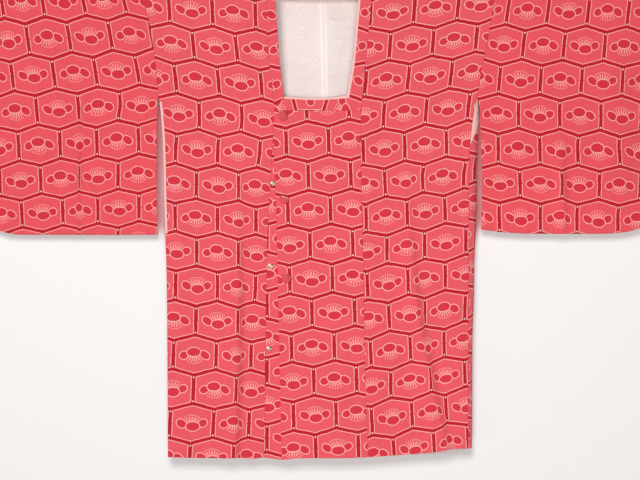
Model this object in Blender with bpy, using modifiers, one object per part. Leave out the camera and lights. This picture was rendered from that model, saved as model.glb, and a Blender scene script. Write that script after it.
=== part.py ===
"""A michiyuki coat that hangs open-sleeved on a plain rod with a wire hook.

The coat faces -Y. Right and left are the wearer's, so the right front is at -X.
Every cloth is worked out by hang(): a place across, a depth below the shoulder fold and a side
of the coat give a point, and what lies on a cloth uses the same point, moved out.
Sizes are in millimetres, and MM turns them into the metres of the mesh.
The origin is the inside top of the hook, where it rests on a nail or a rail.
"""
import bpy
import bmesh
import math
from collections import namedtuple
from mathutils import Vector

MM = 0.001
FRONT = -1
BACK = 1

# The rod and its hook
ROD_RADIUS = 12.0
ROD_LENGTH = 1400.0
ROD_DROP = 72.0
HOOK_WIRE = 4.0
HOOK_THROAT = 14.0
HOOK_SOCKET = 15.0

# The cloth, silk and lining together
WALL = 2.0
LINING_WALL = 1.0
COLLAR_WALL = 2.0
SEAM_GAP = 0.3
GORE_SEAM = 0.8
LAYER_STEP = 2.6
ROD_EASE = 0.8
FOLD_RADIUS = ROD_RADIUS + ROD_EASE + WALL / 2

# Heights of the cut, all below the shoulder fold
NECK_SEAM_DEPTH = 251.0
BACK_NECK_SEAM = 33.0
BACK_NECK_EDGE = 10.0
ARMHOLE_DEPTH = 225.0
CUFF_DEPTH = 235.0
LINING_TOP = 16.0
LINING_DEPTH = 300.0
LINING_REACH = 114.0
HEM_DEPTH = 946.0
SLEEVE_CORNER = 40.0
SLEEVE_EDGE_TAPER = 2.5
UNDER_BAND_SHORT = 22.0
GORE_TUCK = 6.0

# Buttons and snaps
BUTTON_RADIUS = 8.8
BUTTON_HEIGHT = 5.4
BUTTON_RIM = 1.4
SNAP_RADIUS = 4.0
SNAP_BOSS_RADIUS = 2.4
SNAP_HEIGHT = 2.0

# Rows and columns of the cloth's points
PANEL_COLUMNS = 10
NECK_ROWS = 8
GORE_TOP_ROWS = 4
GORE_TOP_LENGTH = 100.0
SKIRT_ROWS = 11
BAND_COLUMNS = 4
COLLAR_COLUMNS = 3
SLEEVE_ROWS = 6
LINING_ROWS = 8
FRONT_TURNS = (67.5, 45.0, 22.5)
NECKLINE_TURNS = (0, 1, 3, 8, 13, 18, 24.5, 34, 44, 54, 64, 74, 82, 90)

# Edges and seams: (depth below the shoulder fold, place across)
ARMHOLE_RIGHT = ((0, -361), (36, -354), (50, -347), (83, -340), (152, -330), (225, -323))
ARMHOLE_LEFT = ((0, 354), (40, 347.4), (87, 339.2), (132, 331), (173, 322.8), (225, 314.6))
SIDE_RIGHT = ((225, -323), (290, -316), (350, -312), (430, -309.4), (610, -306), (946, -304))
SIDE_LEFT = ((225, 314.6), (266, 306.5), (310, 302), (430, 296), (946, 296))
FURI_RIGHT = ((225, -323), (240, -324.5), (300, -325), (500, -324))
FURI_LEFT = ((225, 314.6), (246, 320), (274, 320.8), (500, 321))
SLEEVE_END_RIGHT = ((0, -667), (250, -661), (500, -659))
SLEEVE_END_LEFT = ((0, 666), (250, 660), (500, 658))
NECK_RIGHT = ((0, -108), (126, -104), (166, -100.6), (190, -96.6), (251, -91.5))
NECK_LEFT = ((0, 103), (50, 101.4), (150, 91.2), (251, 82))
BAND_SEAM_RIGHT = ((251, -91.5), (346, -96.6), (420, -100.8), (540, -106), (946, -112))
BAND_SEAM_LEFT = ((251, 82), (330, 81.6), (590, 87.4), (780, 90), (946, 96))
TOP_BAND_EDGE = ((251, -92), (330, -92.6), (420, -88.6), (590, -84.4), (780, -80), (946, -76))
COLLAR_EDGE_RIGHT = ((0, -89), (30, -88), (110, -82), (140, -80.6), (227, -70))
COLLAR_EDGE_LEFT = ((0, 82), (30, 81), (74, 77), (156, 69.8), (225, 57.6))
BACK_SEAM = ((33, 6), (226, 10), (946, 10))

# How far the cloth stands from the rod's plane: (depth, distance of the wall's middle)
BODY_DEPTH = ((0, 13.8), (225, 12.0), (600, 14.5), (950, 17.0))
SLEEVE_HOLLOW = ((0, 12.8), (225, 11.0), (460, 2.4), (500, 0.5))
GORE_BULGE = ((251, 5), (276, 9), (330, 14.5), (430, 19), (500, 18.5), (630, 14), (720, 10), (946, 9))

# The hem and the sleeve bottoms: (place across, depth)
HEM = ((-306, 949), (-180, 949), (-166, 945), (-140, 948), (-112, 945), (-76, 949), (-40, 946),
       (40, 946), (96, 944), (220, 935), (260, 931), (290, 933), (312, 932))
SLEEVE_BOTTOM = ((-660, 499.4), (-324, 499.4), (320, 489), (360, 494), (420, 497.4), (660, 497.4))

# The bottom collar strip of the left front: (place across, depth of its folded edge)
COLLAR_FRONT = ((-91, 242), (-71, 227), (-45, 228.5), (-20, 230), (10, 230), (36, 228), (57.6, 225))
COLLAR_UNDER_END = (50.0, 229.0)

# Buttons on the top band and snaps on the under band: (place across, depth)
BUTTONS = ((-74.4, 261.4), (-71.2, 428.6), (-67.0, 586.0))
SNAPS = ((-94.2, 396.6), (-98.4, 562.0), (-102.2, 727.0))

# The largest folds: side, start and end across, start and end depth, bend, height and width
Fold = namedtuple("Fold", "side start end top bottom bend height width")
FOLDS = (
    Fold(FRONT, -158, -166, 390, 950, 1.0, 5.0, 17),
    Fold(FRONT, 174, 244, 380, 950, 1.7, 5.5, 21),
    Fold(FRONT, -486, -486, 280, 500, 1.0, 4.0, 15),
    Fold(FRONT, 482, 484, 280, 500, 1.0, 4.0, 15),
    Fold(BACK, -196, -206, 420, 950, 1.0, 5.0, 22),
    Fold(BACK, 150, 178, 360, 950, 1.4, 5.0, 20),
    Fold(BACK, -500, -494, 260, 500, 1.0, 3.5, 16),
    Fold(BACK, 470, 476, 300, 500, 1.0, 3.5, 15),
)

# Colours as red, green and blue from 0 to 1, linear
SILK = (0.72, 0.07, 0.09)
SILK_LINING = (0.80, 0.74, 0.70)
COVERED = (0.66, 0.06, 0.08)
SILVER = (0.70, 0.69, 0.67)
PALE_WOOD = (0.55, 0.36, 0.18)


def clear_scene():
    """Remove what the opening file holds."""
    for thing in list(bpy.data.objects):
        bpy.data.objects.remove(thing, do_unlink=True)


def collection(name):
    """A new collection in the scene."""
    group = bpy.data.collections.new(name)
    bpy.context.scene.collection.children.link(group)
    return group


def material(name, colour, roughness, metallic=0.0):
    """A plain Principled material."""
    made = bpy.data.materials.new(name)
    made.use_nodes = True
    shader = made.node_tree.nodes["Principled BSDF"]
    shader.inputs["Base Color"].default_value = (*colour, 1.0)
    shader.inputs["Roughness"].default_value = roughness
    shader.inputs["Metallic"].default_value = metallic
    return made


def smooth(value):
    """0 below 0, 1 above 1 and a soft step between."""
    value = min(max(value, 0.0), 1.0)
    return value * value * (3 - 2 * value)


def mix(first, second, share):
    """The value at a share of the way from the first to the second."""
    return first + (second - first) * share


def read(table, place):
    """The smooth curve through a table's rows, at a place in its first column."""
    place = min(max(place, table[0][0]), table[-1][0])
    count = len(table)
    row = 0
    while row < count - 2 and place > table[row + 1][0]:
        row += 1
    (start, first), (end, second) = table[row], table[row + 1]
    slope = (second - first) / (end - start)
    before, after = slope, slope
    if row > 0:
        before = (second - table[row - 1][1]) / (end - table[row - 1][0])
    if row < count - 2:
        after = (table[row + 2][1] - first) / (table[row + 2][0] - start)
    t = (place - start) / (end - start)
    span = end - start
    return (first * (1 + 2 * t) * (1 - t) ** 2 + second * t * t * (3 - 2 * t)
            + before * span * t * (1 - t) ** 2 - after * span * t * t * (1 - t))


def folds(across, depth, side):
    """How far the folds of one side lift the cloth at a point."""
    lift = 0.0
    for fold in FOLDS:
        if fold.side != side or depth <= fold.top:
            continue
        share = (depth - fold.top) / (fold.bottom - fold.top)
        middle = mix(fold.start, fold.end, share ** fold.bend)
        lift += fold.height * smooth(share * 1.6) * math.exp(-((across - middle) / fold.width) ** 2)
    return lift


def hang(across, depth, side, out=0.0):
    """A point of the body's cloth, moved out from the middle of its wall."""
    if depth < FOLD_RADIUS:
        turn = math.acos(1 - depth / FOLD_RADIUS)
        y = (FOLD_RADIUS + out) * math.sin(turn)
        z = (FOLD_RADIUS + out) * math.cos(turn)
    else:
        y = read(BODY_DEPTH, depth) + folds(across, depth, side) + out
        z = FOLD_RADIUS - depth
    return Vector((across, side * y, z - ROD_DROP))


def hem_shift(across, depth, side):
    """The depth with the uneven hem of the front or the even one of the back worked in."""
    hem = read(HEM, across)
    if side == BACK:
        hem = mix(hem, HEM_DEPTH, 0.6)
    return depth + (hem - HEM_DEPTH) * (depth / HEM_DEPTH) ** 2


def skirt_depths():
    """The rows below the neck, closer together at the top of the gore."""
    top = NECK_SEAM_DEPTH + GORE_TOP_LENGTH
    return steps(NECK_SEAM_DEPTH, top, GORE_TOP_ROWS) + steps(top, HEM_DEPTH, SKIRT_ROWS)[1:]


def yoke_places():
    """The rows above the neck's lower edge, up the front, over the rod and down the back."""
    yoke = steps(FOLD_RADIUS, NECK_SEAM_DEPTH, NECK_ROWS)
    places = [(depth, FRONT) for depth in reversed(yoke)]
    places += [(shoulder_depth(degrees), FRONT) for degrees in FRONT_TURNS]
    places += [(neckline_depth(degrees), BACK) for degrees in NECKLINE_TURNS]
    places += [(depth, BACK) for depth in yoke if depth > BACK_NECK_SEAM + 1]
    return places


def left_lift(across, depth):
    """How far the left front stands out, because it lies over the right one."""
    seam = inner_edge(NECK_LEFT, BAND_SEAM_LEFT, depth)
    return LAYER_STEP * smooth((depth - 50) / 160) * (1 - smooth((across - seam) / 75))


def inner_edge(neck, band, depth):
    """The edge of a front panel: the neck seam, then the band's seam."""
    if depth < NECK_SEAM_DEPTH:
        return read(neck, depth)
    return read(band, depth)


def outer_edge(armhole, side_seam, depth):
    """The edge of a body cloth: the armhole, then the side seam."""
    if depth < ARMHOLE_DEPTH:
        return read(armhole, depth)
    return read(side_seam, depth)


def back_neckline(neck, depth):
    """The back panel's inner edge: a quarter round under the collar, then the back seam."""
    centre = read(BACK_SEAM, depth)
    if depth >= BACK_NECK_SEAM:
        return centre
    share = 1 - math.sqrt(1 - (depth / BACK_NECK_SEAM) ** 2)
    return mix(read(neck, 0), centre, share)


def new_object(name, mesh, finish, group):
    """An object of a mesh, with its material."""
    made = bpy.data.objects.new(name, mesh)
    made.data.materials.append(finish)
    group.objects.link(made)
    return made


def sheet(name, rows, wall, finish, group):
    """A cloth through rows of points in millimetres, with its wall on both sides of them."""
    mesh = bpy.data.meshes.new(name)
    form = bmesh.new()
    grid = [[form.verts.new(point * MM) for point in row] for row in rows]
    for upper, lower in zip(grid, grid[1:]):
        for column in range(len(upper) - 1):
            corners = (upper[column], upper[column + 1], lower[column + 1], lower[column])
            form.faces.new(corners)
    bmesh.ops.recalc_face_normals(form, faces=form.faces)
    form.to_mesh(mesh)
    form.free()
    mesh.shade_smooth()
    made = new_object(name, mesh, finish, group)
    thicken = made.modifiers.new("wall", "SOLIDIFY")
    thicken.thickness = wall * MM
    thicken.offset = 0.0
    return made


def steps(first, last, count):
    """Even steps from the first value to the last."""
    return [mix(first, last, step / count) for step in range(count + 1)]


def shoulder_depth(degrees):
    """The depth of a place on the fold over the rod, by its turn from the top."""
    return FOLD_RADIUS * (1 - math.cos(math.radians(degrees)))


def neckline_depth(degrees):
    """The depth of the back neck seam's quarter round, by its turn from the shoulder."""
    return BACK_NECK_SEAM * math.sin(math.radians(degrees))


def body_half(name, hand, finish, group):
    """One body cloth, from the front hem over the shoulder to the back hem."""
    if hand == "right":
        armhole, side_seam, neck, band = ARMHOLE_RIGHT, SIDE_RIGHT, NECK_RIGHT, BAND_SEAM_RIGHT
        toward_side = -1
    else:
        armhole, side_seam, neck, band = ARMHOLE_LEFT, SIDE_LEFT, NECK_LEFT, BAND_SEAM_LEFT
        toward_side = 1
    half_gap = SEAM_GAP / 2
    skirt = skirt_depths()[1:]
    places = [(depth, FRONT) for depth in reversed(skirt)] + yoke_places()
    places += [(depth, BACK) for depth in skirt]
    rows = []
    for depth, side in places:
        outside = outer_edge(armhole, side_seam, depth) - toward_side * half_gap
        if side == FRONT:
            inside = inner_edge(neck, band, depth) + toward_side * half_gap
        else:
            inside = back_neckline(neck, depth) + toward_side * half_gap
        row = []
        for column in range(PANEL_COLUMNS + 1):
            across = mix(outside, inside, column / PANEL_COLUMNS)
            lift = left_lift(across, depth) if side == FRONT and hand == "left" else 0.0
            row.append(hang(across, hem_shift(across, depth, side), side, lift))
        rows.append(row)
    return sheet(name, rows, WALL, finish, group)


def front_band(name, first_edge, second_edge, lift, finish, group):
    """A front band, from the collar's strip down to the hem."""
    rows = []
    for depth in [NECK_SEAM_DEPTH + SEAM_GAP / 2] + skirt_depths()[1:]:
        row = []
        for column in range(BAND_COLUMNS + 1):
            across = mix(first_edge(depth), second_edge(depth), column / BAND_COLUMNS)
            row.append(hang(across, hem_shift(across, depth, FRONT), FRONT, lift))
        rows.append(row)
    return sheet(name, rows, WALL, finish, group)


def collar_stations():
    """The collar's way round the neck: pairs of seam and folded edge, as points."""
    half_gap = SEAM_GAP / 2
    seam_depth = NECK_SEAM_DEPTH - half_gap
    stations = []

    def add(seam, edge):
        row = []
        for share in steps(0.0, 1.0, COLLAR_COLUMNS):
            across, depth, side, lift = [mix(one, other, share) for one, other in zip(seam, edge)]
            row.append(hang(across, depth, side, lift))
        stations.append(row)

    # Along the top of the left front, out to the corner
    for across, edge_depth in COLLAR_FRONT[:-1]:
        add((across, seam_depth, FRONT, LAYER_STEP), (across, edge_depth, FRONT, LAYER_STEP))
    corner = COLLAR_FRONT[-1]
    # Up the left front to the shoulder
    for seam_at, edge_at in zip(steps(seam_depth, FOLD_RADIUS, NECK_ROWS),
                                steps(corner[1], FOLD_RADIUS, NECK_ROWS)):
        lift = left_lift(0, seam_at)
        add((read(NECK_LEFT, seam_at) - half_gap, seam_at, FRONT, lift),
            (read(COLLAR_EDGE_LEFT, edge_at), edge_at, FRONT, lift))
    # Over the left shoulder, round the back and over the right shoulder
    for neck, edge, sign in ((NECK_LEFT, COLLAR_EDGE_LEFT, 1), (NECK_RIGHT, COLLAR_EDGE_RIGHT, -1)):
        part = []
        for degrees in FRONT_TURNS:
            depth = shoulder_depth(degrees)
            part.append(((read(neck, depth) - sign * half_gap, depth, FRONT, 0.0),
                         (read(edge, depth), depth, FRONT, 0.0)))
        for degrees in NECKLINE_TURNS[:-1]:
            turn = math.radians(degrees)
            seam_at = neckline_depth(degrees)
            across = back_neckline(neck, seam_at) - sign * half_gap
            part.append(((across, seam_at - SEAM_GAP * math.sin(turn), BACK, 0.0),
                         (mix(read(edge, 0), read(BACK_SEAM, 0), 1 - math.cos(turn)),
                          BACK_NECK_EDGE * math.sin(turn), BACK, 0.0)))
        if sign < 0:
            part.reverse()
        for seam, folded in part:
            add(seam, folded)
    # Down the right front to its corner
    for seam_at, edge_at in zip(steps(FOLD_RADIUS, seam_depth, NECK_ROWS),
                                steps(FOLD_RADIUS, COLLAR_EDGE_RIGHT[-1][0], NECK_ROWS)):
        add((read(NECK_RIGHT, seam_at) + half_gap, seam_at, FRONT, 0.0),
            (read(COLLAR_EDGE_RIGHT, edge_at), edge_at, FRONT, 0.0))
    # Along the top of the right front, under the left one
    for across, edge_depth in COLLAR_FRONT[2:-1]:
        add((across, seam_depth, FRONT, 0.0), (across, edge_depth, FRONT, 0.0))
    add((COLLAR_UNDER_END[0], seam_depth, FRONT, 0.0), (*COLLAR_UNDER_END, FRONT, 0.0))
    return stations


def gore(name, hand, finish, group):
    """The narrow side panel between front and back, below the armhole."""
    rows = []
    for depth in skirt_depths():
        stand = read(BODY_DEPTH, depth)
        row = []
        for step in range(7):
            turn = math.pi * step / 6
            if hand == "left":
                across = read(SIDE_LEFT, depth) + GORE_SEAM + read(GORE_BULGE, depth) * math.sin(turn)
                reach = stand
            else:
                across = read(SIDE_RIGHT, depth) + WALL / 2 + GORE_TUCK * math.sin(turn)
                reach = stand - WALL - SEAM_GAP
            hem = hem_shift(across, depth, FRONT)
            row.append(Vector((across, -reach * math.cos(turn), FOLD_RADIUS - hem - ROD_DROP)))
        rows.append(row)
    return sheet(name, rows, WALL, finish, group)


def lining_half(name, hand, finish, group):
    """Half of the back lining, as far as the neck shows it."""
    neck = NECK_RIGHT if hand == "right" else NECK_LEFT
    toward_side = -1 if hand == "right" else 1
    inward = -(COLLAR_WALL / 2 + SEAM_GAP + LINING_WALL / 2)
    depths = [neckline_depth(degrees) for degrees in NECKLINE_TURNS if neckline_depth(degrees) > LINING_TOP]
    depths += steps(BACK_NECK_SEAM, LINING_DEPTH, LINING_ROWS)[1:]
    rows = []
    for depth in depths:
        inside = back_neckline(neck, depth) + toward_side * SEAM_GAP / 2
        outside = toward_side * LINING_REACH
        row = [hang(mix(outside, inside, column / 5), depth, BACK, inward) for column in range(6)]
        rows.append(row)
    return sheet(name, rows, LINING_WALL, finish, group)


def sleeve_hollow(share, depth):
    """Half the hollow between a sleeve's sheets: it closes towards the sewn end."""
    hollow = read(SLEEVE_HOLLOW, depth)
    least = SLEEVE_HOLLOW[-1][1]
    mouth = max(least, FOLD_RADIUS * (1 - depth / CUFF_DEPTH))
    return mix(hollow, min(hollow, mouth), smooth((share - 0.75) / 0.25))


def sleeve(name, hand, finish, group):
    """A bag over the rod: open towards the body and at the cuff, sewn at the bottom and below it."""
    if hand == "right":
        armhole, furi, end, toward_end = ARMHOLE_RIGHT, FURI_RIGHT, SLEEVE_END_RIGHT, -1
    else:
        armhole, furi, end, toward_end = ARMHOLE_LEFT, FURI_LEFT, SLEEVE_END_LEFT, 1
    width = abs(end[-1][1] - furi[-1][1])
    corner_share = SLEEVE_CORNER / width
    shares = [column / 7 * (1 - corner_share) for column in range(8)]
    shares += [1 - corner_share * (1 - math.sin(math.radians(angle))) for angle in (22, 45, 68, 90)]
    lower = steps(0.0, 1.0, SLEEVE_ROWS)[1:]
    ring = [("bottom", 1.0, FRONT)] + [("lower", share, FRONT) for share in reversed(lower)]
    ring += [("yoke", depth, side) for depth, side in yoke_places()]
    ring += [("lower", share, BACK) for share in lower]

    def point(share, kind, value, side, skin_out):
        """A point of the outer or the inner skin."""
        bottom = read(SLEEVE_BOTTOM, mix(furi[-1][1], end[-1][1], share))
        past = max(0.0, (share - (1 - corner_share)) / corner_share)
        bottom -= SLEEVE_CORNER * (1 - math.sqrt(max(0.0, 1 - past * past)))
        if not skin_out:
            bottom -= WALL + SEAM_GAP
        depth = value
        if kind == "lower":
            depth = mix(NECK_SEAM_DEPTH, bottom - SLEEVE_EDGE_TAPER, value)
        elif kind == "bottom":
            depth = bottom
        inside = outer_edge(armhole, furi, depth) + toward_end * SEAM_GAP / 2
        across = mix(inside, read(end, depth), share)
        if depth < FOLD_RADIUS:
            return hang(across, depth, side, WALL / 2 if skin_out else -WALL / 2)
        sewn = share >= 1 and depth > CUFF_DEPTH
        if sewn and not skin_out:
            across -= toward_end * (WALL + SEAM_GAP)
        together = smooth((depth - 300) / 190)
        fronts, backs = folds(across, depth, FRONT), folds(across, depth, BACK)
        if kind == "bottom" or sewn:
            y = backs - fronts
        else:
            stand = sleeve_hollow(share, depth) + (WALL if skin_out else 0.0)
            if side == FRONT:
                y = -(stand + fronts) + together * backs
            else:
                y = stand + backs - together * fronts
        return Vector((across, y, FOLD_RADIUS - depth - ROD_DROP))

    form = bmesh.new()
    count, last = len(ring), len(shares) - 1
    sewn_rows = [row for row, (kind, value, side) in enumerate(ring)
                 if kind == "lower" or value > CUFF_DEPTH]
    skins = []
    for skin_out in (True, False):
        skin = [[form.verts.new(point(share, *place, skin_out) * MM) for place in ring] for share in shares]
        for row in sewn_rows:
            if ring[row][2] == BACK:
                form.verts.remove(skin[last][row])
                skin[last][row] = skin[last][count - row]
        for near, far in zip(skin, skin[1:]):
            for row in range(count):
                after = (row + 1) % count
                form.faces.new((near[row], near[after], far[after], far[row]))
        skins.append(skin)
    outer, inner = skins
    for row in range(count):
        after = (row + 1) % count
        form.faces.new((outer[0][row], inner[0][row], inner[0][after], outer[0][after]))
        if not (row in sewn_rows or row == 0) or not (after in sewn_rows or after == 0):
            form.faces.new((outer[last][row], outer[last][after], inner[last][after], inner[last][row]))
    bmesh.ops.recalc_face_normals(form, faces=form.faces)
    mesh = bpy.data.meshes.new(name)
    form.to_mesh(mesh)
    form.free()
    mesh.shade_smooth()
    return new_object(name, mesh, finish, group)


def turned(name, profile, steps, place, finish, group):
    """A round piece that faces the viewer: (radius, height) points turned about -Y."""
    mesh = bpy.data.meshes.new(name)
    points = [(radius * MM, 0.0, height * MM) for radius, height in profile]
    mesh.from_pydata(points, [(at, at + 1) for at in range(len(points) - 1)], [])
    made = new_object(name, mesh, finish, group)
    screw = made.modifiers.new("turn", "SCREW")
    screw.axis = "Z"
    screw.steps = steps
    screw.render_steps = steps
    screw.use_merge_vertices = True
    screw.merge_threshold = 0.00005
    made.rotation_euler = (math.pi / 2, 0.0, 0.0)
    made.location = place * MM
    return made


def button(name, across, depth, finish, group):
    """A cloth-covered button: a dome with a rounded rim, seated on the top band."""
    profile = [(0.0, BUTTON_HEIGHT)]
    for degrees in (18, 36, 54, 70):
        turn = math.radians(degrees)
        dome = (BUTTON_HEIGHT - BUTTON_RIM) * math.cos(turn)
        profile.append((BUTTON_RADIUS * math.sin(turn), BUTTON_RIM + dome))
    profile += [(BUTTON_RADIUS, BUTTON_RIM), (BUTTON_RADIUS - 0.5, 0.4), (BUTTON_RADIUS - 1.6, 0.0), (0.0, 0.0)]
    seat = hang(across, depth, FRONT, LAYER_STEP + WALL / 2 + SEAM_GAP)
    return turned(name, profile, 18, seat, finish, group)


def snap(name, across, depth, finish, group):
    """The socket half of a press snap: a thin plate with a dished boss, on the under band."""
    boss_top = SNAP_HEIGHT
    profile = [(0.0, boss_top - 0.8), (SNAP_BOSS_RADIUS - 1.2, boss_top - 0.8),
               (SNAP_BOSS_RADIUS - 0.9, boss_top), (SNAP_BOSS_RADIUS, boss_top - 0.2),
               (SNAP_BOSS_RADIUS + 0.2, 0.9), (SNAP_RADIUS - 0.3, 0.8), (SNAP_RADIUS, 0.4),
               (SNAP_RADIUS - 0.2, 0.0), (0.0, 0.0)]
    seat = hang(across, depth, FRONT, WALL / 2 + SEAM_GAP)
    return turned(name, profile, 16, seat, finish, group)


def rod(finish, group, cutters):
    """The round rod through both sleeves, drilled at its middle for the hook."""
    bpy.ops.mesh.primitive_cylinder_add(vertices=32, radius=ROD_RADIUS * MM, depth=ROD_LENGTH * MM,
                                        location=(0, 0, -ROD_DROP * MM), rotation=(0, math.pi / 2, 0))
    made = bpy.context.object
    made.name = "rod"
    made.data.materials.append(finish)
    for old in made.users_collection:
        old.objects.unlink(made)
    group.objects.link(made)
    hole = HOOK_WIRE / 2 + SEAM_GAP
    top = ROD_RADIUS - ROD_DROP
    bpy.ops.mesh.primitive_cylinder_add(vertices=16, radius=hole * MM, depth=2 * HOOK_SOCKET * MM,
                                        location=(0, 0, top * MM))
    cutter = bpy.context.object
    cutter.name = "hook_hole"
    cutter.hide_render = True
    cutter.display_type = "WIRE"
    for old in cutter.users_collection:
        old.objects.unlink(cutter)
    cutters.objects.link(cutter)
    drill = made.modifiers.new("hook_hole", "BOOLEAN")
    drill.operation = "DIFFERENCE"
    drill.solver = "EXACT"
    drill.object = cutter
    return made


def hook(finish, group):
    """The wire hook: its foot in the rod, a stem, and a round throat that ends in an open tip."""
    radius = HOOK_THROAT + HOOK_WIRE / 2
    centre = -HOOK_THROAT
    foot = ROD_RADIUS - ROD_DROP - HOOK_SOCKET + 0.6
    points = [(0.0, foot), (0.0, -ROD_DROP + ROD_RADIUS + 6), (0.0, centre - radius - 14)]
    points += [(2.2, centre - radius - 6), (8.5, centre - radius + 1.5)]
    for degrees in range(-40, 196, 18):
        turn = math.radians(degrees)
        points.append((radius * math.cos(turn), centre + radius * math.sin(turn)))
    curve = bpy.data.curves.new("hook", "CURVE")
    curve.dimensions = "3D"
    curve.bevel_depth = HOOK_WIRE / 2 * MM
    curve.bevel_resolution = 2
    curve.use_fill_caps = True
    line = curve.splines.new("POLY")
    line.points.add(len(points) - 1)
    for target, (x, z) in zip(line.points, points):
        target.co = (x * MM, 0.0, z * MM, 1.0)
    made = bpy.data.objects.new("hook", curve)
    made.data.materials.append(finish)
    group.objects.link(made)
    return made


def main():
    """Build the coat, its rod and its hook."""
    clear_scene()
    coat = collection("michiyuki_coat")
    cutters = collection("cutters")
    silk = material("printed_silk", SILK, 0.75)
    lining = material("lining_silk", SILK_LINING, 0.55)
    covered = material("covered_button", COVERED, 0.75)
    silver = material("snap_metal", SILVER, 0.3, 1.0)
    wood = material("rod_wood", PALE_WOOD, 0.5)
    steel = material("hook_steel", SILVER, 0.35, 1.0)

    for hand in ("right", "left"):
        body_half("body_" + hand, hand, silk, coat)
        gore("gore_" + hand, hand, silk, coat)
        sleeve("sleeve_" + hand, hand, silk, coat)
        lining_half("lining_" + hand, hand, lining, coat)

    half_gap = SEAM_GAP / 2
    front_band("band_right", lambda depth: read(BAND_SEAM_RIGHT, depth) + half_gap,
               lambda depth: read(BAND_SEAM_LEFT, depth) - UNDER_BAND_SHORT, 0.0, silk, coat)
    front_band("band_left", lambda depth: read(TOP_BAND_EDGE, depth),
               lambda depth: read(BAND_SEAM_LEFT, depth) - half_gap, LAYER_STEP, silk, coat)
    sheet("collar", collar_stations(), COLLAR_WALL, silk, coat)

    for number, (across, depth) in enumerate(BUTTONS, 1):
        button(f"button_{number}", across, depth, covered, coat)
    for number, (across, depth) in enumerate(SNAPS, 1):
        snap(f"snap_{number}", across, depth, silver, coat)
    rod(wood, coat, cutters)
    hook(steel, coat)


main()
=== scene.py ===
# %% [markdown]
# # A michiyuki coat on its rod
#
# A michiyuki is the coat that is worn over a kimono. Its square neck is framed by a narrow band,
# its front laps over and closes with covered buttons and hidden snaps, and its long sleeves are
# bags that stay open towards the body. This lesson dresses the plain CAD solids of such a coat
# as printed crepe silk over a white figured lining, one piece of cloth at a time.
#
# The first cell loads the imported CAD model. Everything after it stands in that model's frame,
# so each cloth is laid on its own solid and nothing is fitted by eye.

# %% Load the frame
import math
from collections import namedtuple

import bmesh
import bpy
import numpy as np
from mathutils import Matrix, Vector


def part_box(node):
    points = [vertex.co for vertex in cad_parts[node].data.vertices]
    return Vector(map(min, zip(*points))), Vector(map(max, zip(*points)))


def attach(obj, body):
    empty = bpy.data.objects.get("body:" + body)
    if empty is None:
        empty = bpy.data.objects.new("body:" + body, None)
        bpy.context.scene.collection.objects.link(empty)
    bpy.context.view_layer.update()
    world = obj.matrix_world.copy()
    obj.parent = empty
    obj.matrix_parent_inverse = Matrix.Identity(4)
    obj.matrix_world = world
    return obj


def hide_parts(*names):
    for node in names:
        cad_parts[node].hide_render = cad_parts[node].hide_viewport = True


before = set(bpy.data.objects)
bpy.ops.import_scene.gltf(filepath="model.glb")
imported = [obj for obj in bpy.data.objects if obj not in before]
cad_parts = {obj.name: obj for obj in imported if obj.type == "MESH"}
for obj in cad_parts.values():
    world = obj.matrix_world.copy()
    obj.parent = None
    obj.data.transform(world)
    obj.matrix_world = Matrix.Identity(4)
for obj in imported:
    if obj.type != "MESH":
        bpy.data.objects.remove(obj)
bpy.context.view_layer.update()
print("CAD nodes:", ", ".join(sorted(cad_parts)))

# %% [markdown]
# ## Sizes that drive the rest
#
# A maker measures a hanging coat across from its middle, and down from the fold over the rod.
# The lesson does the same, in millimetres: a place is given as (across, depth). Right and left are
# the wearer's, so the right half lies at the viewer's left, where across is below 0. The rod's
# height and the fold's radius are read from the CAD boxes, so the cloth follows the rod.

# %% The rod, the fold over it and the wall of the cloth
MM = 0.001
FRONT, BACK, INSIDE = -1, 1, 2
WALL = 2.0
SEAM_GAP = 0.12
LAYER_STEP = 2.6

rod_low, rod_high = (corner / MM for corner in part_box("rod"))
rod_radius = (rod_high.y - rod_low.y) / 2
rod_drop = -(rod_high.z + rod_low.z) / 2
fold_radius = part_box("body_right")[1].z / MM + rod_drop - WALL / 2
print(f"rod {2 * rod_radius:.0f} mm thick, cloth folds over it at {fold_radius:.1f} mm")

# %% [markdown]
# ## Tables and curves
#
# An edge of a garment is a few measured places with a fair curve through them. `read` draws that
# curve, and it takes whole arrays, so that a cloth of thousands of points is worked out at once.

# %% Curves through a few measured places
def smooth(value):
    """0 below 0, 1 above 1 and a soft step between."""
    value = np.clip(value, 0.0, 1.0)
    return value * value * (3 - 2 * value)


def mix(first, second, share):
    """The value at a share of the way from the first to the second."""
    return first + (second - first) * share


def read(table, place):
    """The fair curve through a table's rows, at places in its first column."""
    at, value = np.array(table, float).T
    place = np.clip(place, at[0], at[-1])
    chords = np.diff(value) / np.diff(at)
    slopes = np.concatenate((chords[:1], (value[2:] - value[:-2]) / (at[2:] - at[:-2]), chords[-1:]))
    row = np.clip(np.searchsorted(at, place) - 1, 0, len(at) - 2)
    span = at[row + 1] - at[row]
    t = (place - at[row]) / span
    return (value[row] * (1 + 2 * t) * (1 - t) ** 2 + value[row + 1] * t * t * (3 - 2 * t)
            + slopes[row] * span * t * (1 - t) ** 2 - slopes[row + 1] * span * t * t * (1 - t))


def joined(*parts):
    """Arrays side by side along a new last axis, each stretched to the shape they share."""
    return np.stack(np.broadcast_arrays(*parts), axis=-1)


print("a curve through 0, 1 and 0:", read(((0, 0), (1, 1), (2, 0)), np.linspace(0, 2, 5)).round(2))

# %% [markdown]
# ## The cut
#
# These tables are the coat's outline as it hangs: its seams and edges at a few depths, measured in
# the photograph at 2 mm a pixel and rounded. The CAD solids follow nearly the same lines.

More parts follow.
